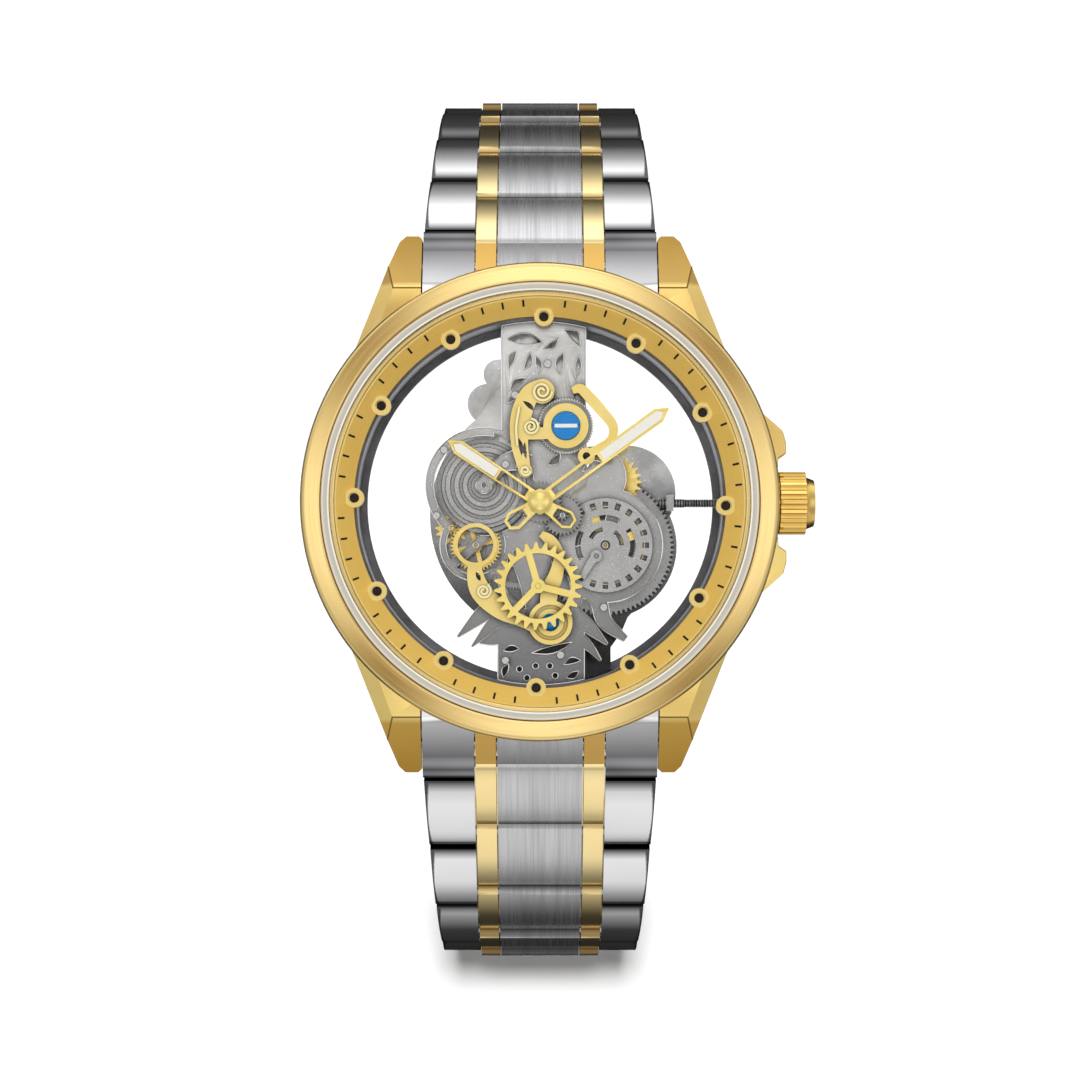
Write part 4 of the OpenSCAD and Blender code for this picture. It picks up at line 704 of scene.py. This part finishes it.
def edge_lines(name, node, key, radius, wanted):
    """Fine round lines along edges of a CAD node of the case.

    Wanted picks an edge by its middle, its bend in degrees and how far its faces look up.
    """
    bm = merged(nodes[node].data)
    lines = bmesh.new()
    for edge in bm.edges:
        middle = middle_of(edge)
        up = max(face.normal.z for face in edge.link_faces)
        if not wanted(middle, math.degrees(edge.calc_face_angle(0)), up):
            continue
        along = edge.verts[1].co - edge.verts[0].co
        turn = along.to_track_quat("Z", "Y").to_matrix().to_4x4()
        bmesh.ops.create_cone(lines, cap_ends=True, segments=8, radius1=radius * MM, radius2=radius * MM,
                              depth=along.length, matrix=Matrix.Translation(middle) @ turn)
    bm.free()
    mesh = mesh_of(lines, name)
    smooth(mesh)
    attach(new_object(name, mesh, key), "case")


LUG_FROM = 19 * MM
LUG_UNDER = DIAL_Z - 3.6 * MM
SHARP_BEND = 50
LOOKS_UP = 0.95


def lug_crease(middle, bend, up):
    return abs(middle.y) > LUG_FROM and middle.z > LUG_UNDER and 25 < bend < SHARP_BEND


def top_edge(middle, bend, up):
    return bend > SHARP_BEND and up > LOOKS_UP


# Dark lines along the lug creases are painted shade where the facets meet.
edge_lines("lug_lines", "case_body", "gold_crease_shade", 0.07, lug_crease)
# Bright lines on the bridge's top edges: polished chamfers with a painted highlight.
edge_lines("bridge_lines", "front_bridge", "steel_edge", 0.055, top_edge)

BOSS_OUTER = 18.3 * MM
SHOULDER_LOW = DIAL_Z - 2.1 * MM
SHOULDER_HIGH = DIAL_Z - 1.9 * MM


def boss_top(centre, normal):
    return 1 if normal.z > LOOKS_UP and math.hypot(centre.x, centre.y) < BOSS_OUTER else 0


def boss_edge(middle):
    """The bosses have a round shoulder. The other edges of the ring are nearly sharp."""
    return 1.0 if SHOULDER_LOW < middle.z < SHOULDER_HIGH else 0.2


dressed("crown", 0.08, "gold_crown")
dressed("movement_ring", 0.05, "steel_wall")
dressed("chapter_ring", 0.28, "gold_ring", "gold_boss", choose=boss_top, segments=4, soft=boss_edge)

# Dial marks: ticks on the slope of the chapter ring between the hours, and a dot on each boss

CHAPTER_TURN = -1.2
CHAPTER_RISE = 1.2
CHAPTER_RUN = 1.58
TICK_R = 18.32
TICK_DEPTH = 1.66
DOT_R = 17.1
DOT_DEPTH = 2.33
MARK_ABOVE = 0.03

slope = math.degrees(math.atan2(CHAPTER_RISE, CHAPTER_RUN))
tick = little_shape("tick", oblong(0.72, 0.2), -MARK_ABOVE, 0.02, slope)
ticks = repeated("minute_ticks", tick, "black_mark", 60, TICK_R, TICK_DEPTH, CHAPTER_TURN, 6.0, 5)
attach(ticks, "case")
dot = little_shape("dot", disc(0.44), -MARK_ABOVE, 0.1)
dots = repeated("hour_dots", dot, "black_mark", 12, DOT_R, DOT_DEPTH, CHAPTER_TURN, 30.0)
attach(dots, "case")

# Bracelet and clasp

ROWS = ("steel_brushed", "gold_strip", "steel_polished")
END_ROWS = ("end_brushed", "gold_polished", "end_polished")
LINK_COUNT = 7
CENTRE_HALF = 4.01
STRIP_HALF = 6.0
OUTER_FROM = 8.0
LINK_HALF = 1.5
LINK_RISE = 0.5
CROWN_CUTS = 18
SIDE_EDGE = 0.42
SIDE_SHADE = 1.25
WALL_CUT = 0.9
TOP_FROM = 1.2
FACES_OUT = 0.9

joints = frame["record"]["behaviour"]["joints"]
joint_at = {joint["name"]: Vector(joint["pos_m"]) for joint in joints if "pos_m" in joint}
PIN_PAST_COVER = 1.9
CLASP_PIN_12 = Vector((0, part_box("clasp_cover")[1].y + PIN_PAST_COVER * MM, joint_at["clasp_open"].z))


def bracelet_row(centre, normal=None):
    """0 for the centre of a link, 1 for its strips and 2 for its outer pieces."""
    across = abs(centre.x) / MM
    if across < CENTRE_HALF:
        return 0
    return 1 if across < STRIP_HALF else 2


def side_wall(bm, side):
    """The largest outer face of the outer pieces on one side, -1 or 1."""
    walls = [face for face in bm.faces if face.normal.x * side > FACES_OUT
             and face.calc_center_median().x * side > OUTER_FROM * MM]
    return max(walls, key=lambda face: face.calc_area())


def on_side(v):
    """True for a point on the outer side of an outer piece."""
    side = math.copysign(1, v.co.x)
    return bracelet_row(v.co) == 2 and any(face.normal.x * side > FACES_OUT for face in v.link_faces)


def crowned(start, end):
    """Rounds the outer face of a link along its length, between two pins, and notes its ends and sides for
    painted shade.
    """
    along = (end - start).normalized()
    out = along.cross(Vector((1, 0, 0)))
    middle = (joint_at["link_12_4_pivot"] + joint_at["link_6_4_pivot"]) / 2
    if out.dot(start - middle) < 0:
        out.negate()

    def place_on(v):
        return (v.co - start).dot(along)

    def shape(bm):
        places = [place_on(v) for v in bm.verts]
        low = min(places)
        high = max(places)
        for i in range(1, CROWN_CUTS):
            cut(bm, start + along * (low + (high - low) * i / CROWN_CUTS), along)
        bm.normal_update()
        walls = [side_wall(bm, side) for side in (-1, 1)]
        planes = [(wall.calc_center_median() - wall.normal * SIDE_EDGE * MM, wall.normal.copy())
                  for wall in walls]
        planes.append((start + out * (WALL_CUT * MM), out))
        for place, across in planes:
            cut(bm, place, across)
        bm.normal_update()
        outer = [place_on(v) for v in bm.verts if bracelet_row(v.co) == 2]
        inner = [place_on(v) for v in bm.verts if bracelet_row(v.co) < 2]
        outer_ends = (min(outer), max(outer))
        inner_ends = (min(inner), max(inner))
        end_shade_mask = bm.verts.layers.float.new(LINK_END)
        for v in bm.verts:
            near, far = outer_ends if bracelet_row(v.co) == 2 else inner_ends
            offset = 2 * (place_on(v) - near) / (far - near) - 1
            height = (v.co - start).dot(out)
            v[end_shade_mask] = SIDE_SHADE if height > TOP_FROM * MM and on_side(v) else abs(offset)
            if height > 0:
                v.co -= out * (LINK_RISE * offset * offset * height / LINK_HALF)

    return shape


FALL_CUTS = 12
FALL_CUT_FROM = 18.0
FALL_CUT_STEP = 0.6
FALL_FROM = 17.5
FALL_LENGTH = 7.5
FALL_SHARE = 0.9 / 3.7


def fallen(bm):
    """Lets the top of each end link fall away from the case in a gentle curve."""
    low = joint_at["link_12_1_pivot"].z
    for side in (-1, 1):
        for i in range(FALL_CUTS):
            cut(bm, (0, side * (FALL_CUT_FROM + FALL_CUT_STEP * i) * MM, 0), (0, 1, 0))
    for v in bm.verts:
        fall = min(max((abs(v.co.y) / MM - FALL_FROM) / FALL_LENGTH, 0.0), 1.0)
        if v.co.z > low:
            v.co.z -= FALL_SHARE * fall * fall * (v.co.z - low)


for side, last in (("12", CLASP_PIN_12), ("6", joint_at["clasp_open"])):
    for k in range(1, LINK_COUNT + 1):
        name = f"link_{side}_{k}"
        end = joint_at[f"link_{side}_{k + 1}_pivot"] if k < LINK_COUNT else last
        crown = crowned(joint_at[name + "_pivot"], end)
        dressed(name, 0.26, *ROWS, choose=bracelet_row, shape=crown, segments=3)
dressed("end_links", 0.14, *END_ROWS, choose=bracelet_row, shape=fallen, crease=40.0)
for name in ("clasp_cover", "fold_blade", "end_blade"):
    dressed(name, 0.12, "steel_brushed")
for name in ("button_left", "button_right"):
    dressed(name, 0.1, "steel_polished")
paint("steel_polished", "spring_bars")

# Movement

# The plate's rounded edges take the bright chamfer finish, a painted highlight.
dressed("main_plate", 0.07, "steel_plate", "steel_edge", edge_finish=1)
dressed("front_bridge", 0.08, "steel_bridge")
dressed("bridge_screws", 0.06, "steel_bright")
dressed("cock_screw", 0.06, "blue_screw")
dressed("balance_wheel", 0.06, "steel_disc")
dressed("crown_wheel", 0.04, "gold_gilt")
dressed("fourth_wheel", 0.03, "gold_gilt")
paint("gold_cock", "scroll_cock", "ring_cock", "swan_neck_spring")
paint("gold_wheel", "seconds_wheel")
paint("gold_gilt", "ratchet_wheel", "escape_wheel")
paint("steel_disc", "barrel_bridge", "bridge_clamp", "hairspring")
paint("steel_train", "barrel", "centre_wheel", "minute_wheel", "hour_wheel", "cannon_pinion",
      "third_wheel", "pallet_fork", "mainspring")
paint("steel_thread", "stem")
paint("black_seal", "crown_gasket")
paint("blue_stone", "jewels")

SCREW_AT = (2.4, 7.1)
slot = plate("screw_slot", oblong(2.1, 0.34), 3.335, 3.5, "white_fill", centre=SCREW_AT)
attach(slot, "case")

# The balance has four raised rings: radius and depth of each ring and of the groove outside it

BALANCE_AT = (-5.2, 1.6)
RING_PITCH = 0.8
RING = [(0.75, 4.45), (1.15, 4.45), (1.2, 4.6), (1.5, 4.6)]
steps = [(r + RING_PITCH * i, depth) for i in range(4) for r, depth in RING]
rings = lathe("balance_rings", [(0.75, 4.62), *steps, (3.9, 4.7), (0.75, 4.7)], "steel_disc", 120, BALANCE_AT)
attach(rings, nodes["balance_wheel"]["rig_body"])

# Hands

HAND_RIM = 0.26
HAND_HALF = 0.71
HAND_POINT = 1.25
LUME_POINT = 2.6 * HAND_RIM
LUME_TOP = 0.02
LUME_UNDER = 0.125
HOUR_LENGTH = 10.3
MINUTE_LENGTH = 14.75
CAP = [(0.0, 1.34), (0.78, 1.34), (0.84, 1.36), (1.2, 1.62), (1.2, 1.75), (0.0, 1.75)]


def lume(name, length, bar, turn, top, body):
    """The pale filling of a hand, from the end of its bar to its point."""
    inner = HAND_HALF - HAND_RIM
    start = bar + HAND_RIM
    shoulder = length - HAND_POINT
    outline = [(start, -inner), (shoulder, -inner), (length - LUME_POINT, 0), (shoulder, inner),
               (start, inner)]
    filling = plate(name, outline, top + LUME_TOP, top + LUME_UNDER, "white_fill", 0.03, turn=turn)
    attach(filling, body)


dressed("hour_hand", 0.07, "gold_hand")
dressed("minute_hand", 0.07, "gold_hand")
lume("hour_lume", HOUR_LENGTH, HOUR_LENGTH * 0.44, 146.3, 2.5, "hour")
lume("minute_lume", MINUTE_LENGTH, MINUTE_LENGTH * 0.46, 36.1, 1.95, "minute")
cap = lathe("hand_cap", CAP, "gold_hand", 8)
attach(cap, "minute")


# Camera, floor and light

def aimed(obj, place, target):
    obj.location = place
    obj.rotation_euler = (Vector(target) - Vector(place)).to_track_quat("-Z", "Y").to_euler()
    bpy.context.scene.collection.objects.link(obj)
    return obj


CAMERA_LEAN = math.radians(2.0)
CAMERA_FAR = 265 * MM
FRAME_W = 98.5 * MM
AIM = Vector((0.0, -3.6 * MM, DIAL_Z))
lens = bpy.data.cameras.new("camera")
lens.angle = 2 * math.atan(FRAME_W / 2 / CAMERA_FAR)
lens.clip_start = 0.01
back = Vector((0, -math.sin(CAMERA_LEAN), math.cos(CAMERA_LEAN)))
bpy.context.scene.camera = aimed(bpy.data.objects.new("camera", lens), AIM + back * CAMERA_FAR, AIM)


def lamp_from(name, place, spread, strength):
    """An even far lamp for the matt surfaces and the floor. The metals reflect only the sky."""
    lamp = bpy.data.lights.new(name, "SUN")
    lamp.angle = math.radians(spread)
    lamp.energy = strength
    made = aimed(bpy.data.objects.new(name, lamp), place, (0, 0, 0))
    made.visible_glossy = False
    return made


lamp_from("fill", (0, 0.05, 1.0), 6.0, 0.55)
behind = lamp_from("behind", (0, 0.235, 1.0), 9.0, 3.0)

# Only the lower links throw a shadow from the lamp behind, as in the photo

shades = bpy.data.collections.new("shades")
for k in range(2, LINK_COUNT + 1):
    shades.objects.link(bpy.data.objects[f"link_6_{k}_dressed"])
behind.light_linking.blocker_collection = shades

FLOOR_SIZE = 6.0
floor_mesh = bpy.data.meshes.new("floor")
floor_mesh.from_pydata([(x, y, 0) for x, y in oblong(FLOOR_SIZE, FLOOR_SIZE)], [], [(0, 1, 2, 3)])
paper = Finish("floor_paper")
paper.set(Base_Color=(0.96, 0.96, 0.96), Roughness=0.8)
floor_mesh.materials.append(finish["floor_paper"])
floor = bpy.data.objects.new("floor", floor_mesh)
bpy.context.scene.collection.objects.link(floor)
floor.visible_glossy = False

# The sky that the metals reflect: levels for each height, across the watch, along it and between the two

SKY_ACROSS = [(0.0, 0.05), (0.2, 0.2), (0.31, 0.3), (0.42, 0.55), (0.6, 0.6), (0.8, 0.6), (0.9, 1.2),
              (0.985, 1.3), (1.0, 0.9)]
SKY_ALONG = [(0.0, 0.015), (0.2, 0.05), (0.31, 0.4), (0.42, 1.2), (0.6, 1.35), (0.78, 0.55), (0.9, 1.3),
             (0.985, 1.45), (1.0, 0.95)]
SKY_BETWEEN = [(0.0, 0.02), (0.2, 0.06), (0.31, 0.25), (0.42, 0.8), (0.6, 0.8), (0.78, 0.4),
               (0.9, (0.3, 0.22, 0.11)), (0.985, (0.32, 0.24, 0.13)), (1.0, 0.9)]
SKY_TOP_GAIN = 0.25

world = bpy.data.worlds.new("studio")
sky = Shading(world)
x, y, z = sky.axes(sky.node("ShaderNodeTexCoord", output="Generated"))
height = z * 0.5 + 0.5
flat = x * x + y * y + 0.0001
along = y * y / flat
across = x * x / flat
between = (along * across * 4.0) ** 1.5
on_axes = sky.mix(along, sky.ramp(height, *SKY_ACROSS), sky.ramp(height, *SKY_ALONG))
whole = sky.mix(between, on_axes, sky.ramp(height, *SKY_BETWEEN))
background = sky.tree.nodes["Background"]
sky.feed(background.inputs["Color"], whole)
sky.feed(background.inputs["Strength"], y * SKY_TOP_GAIN + 1.0)
bpy.context.scene.world = world
world.cycles_visibility.diffuse = False
bpy.context.scene.view_settings.view_transform = "Standard"
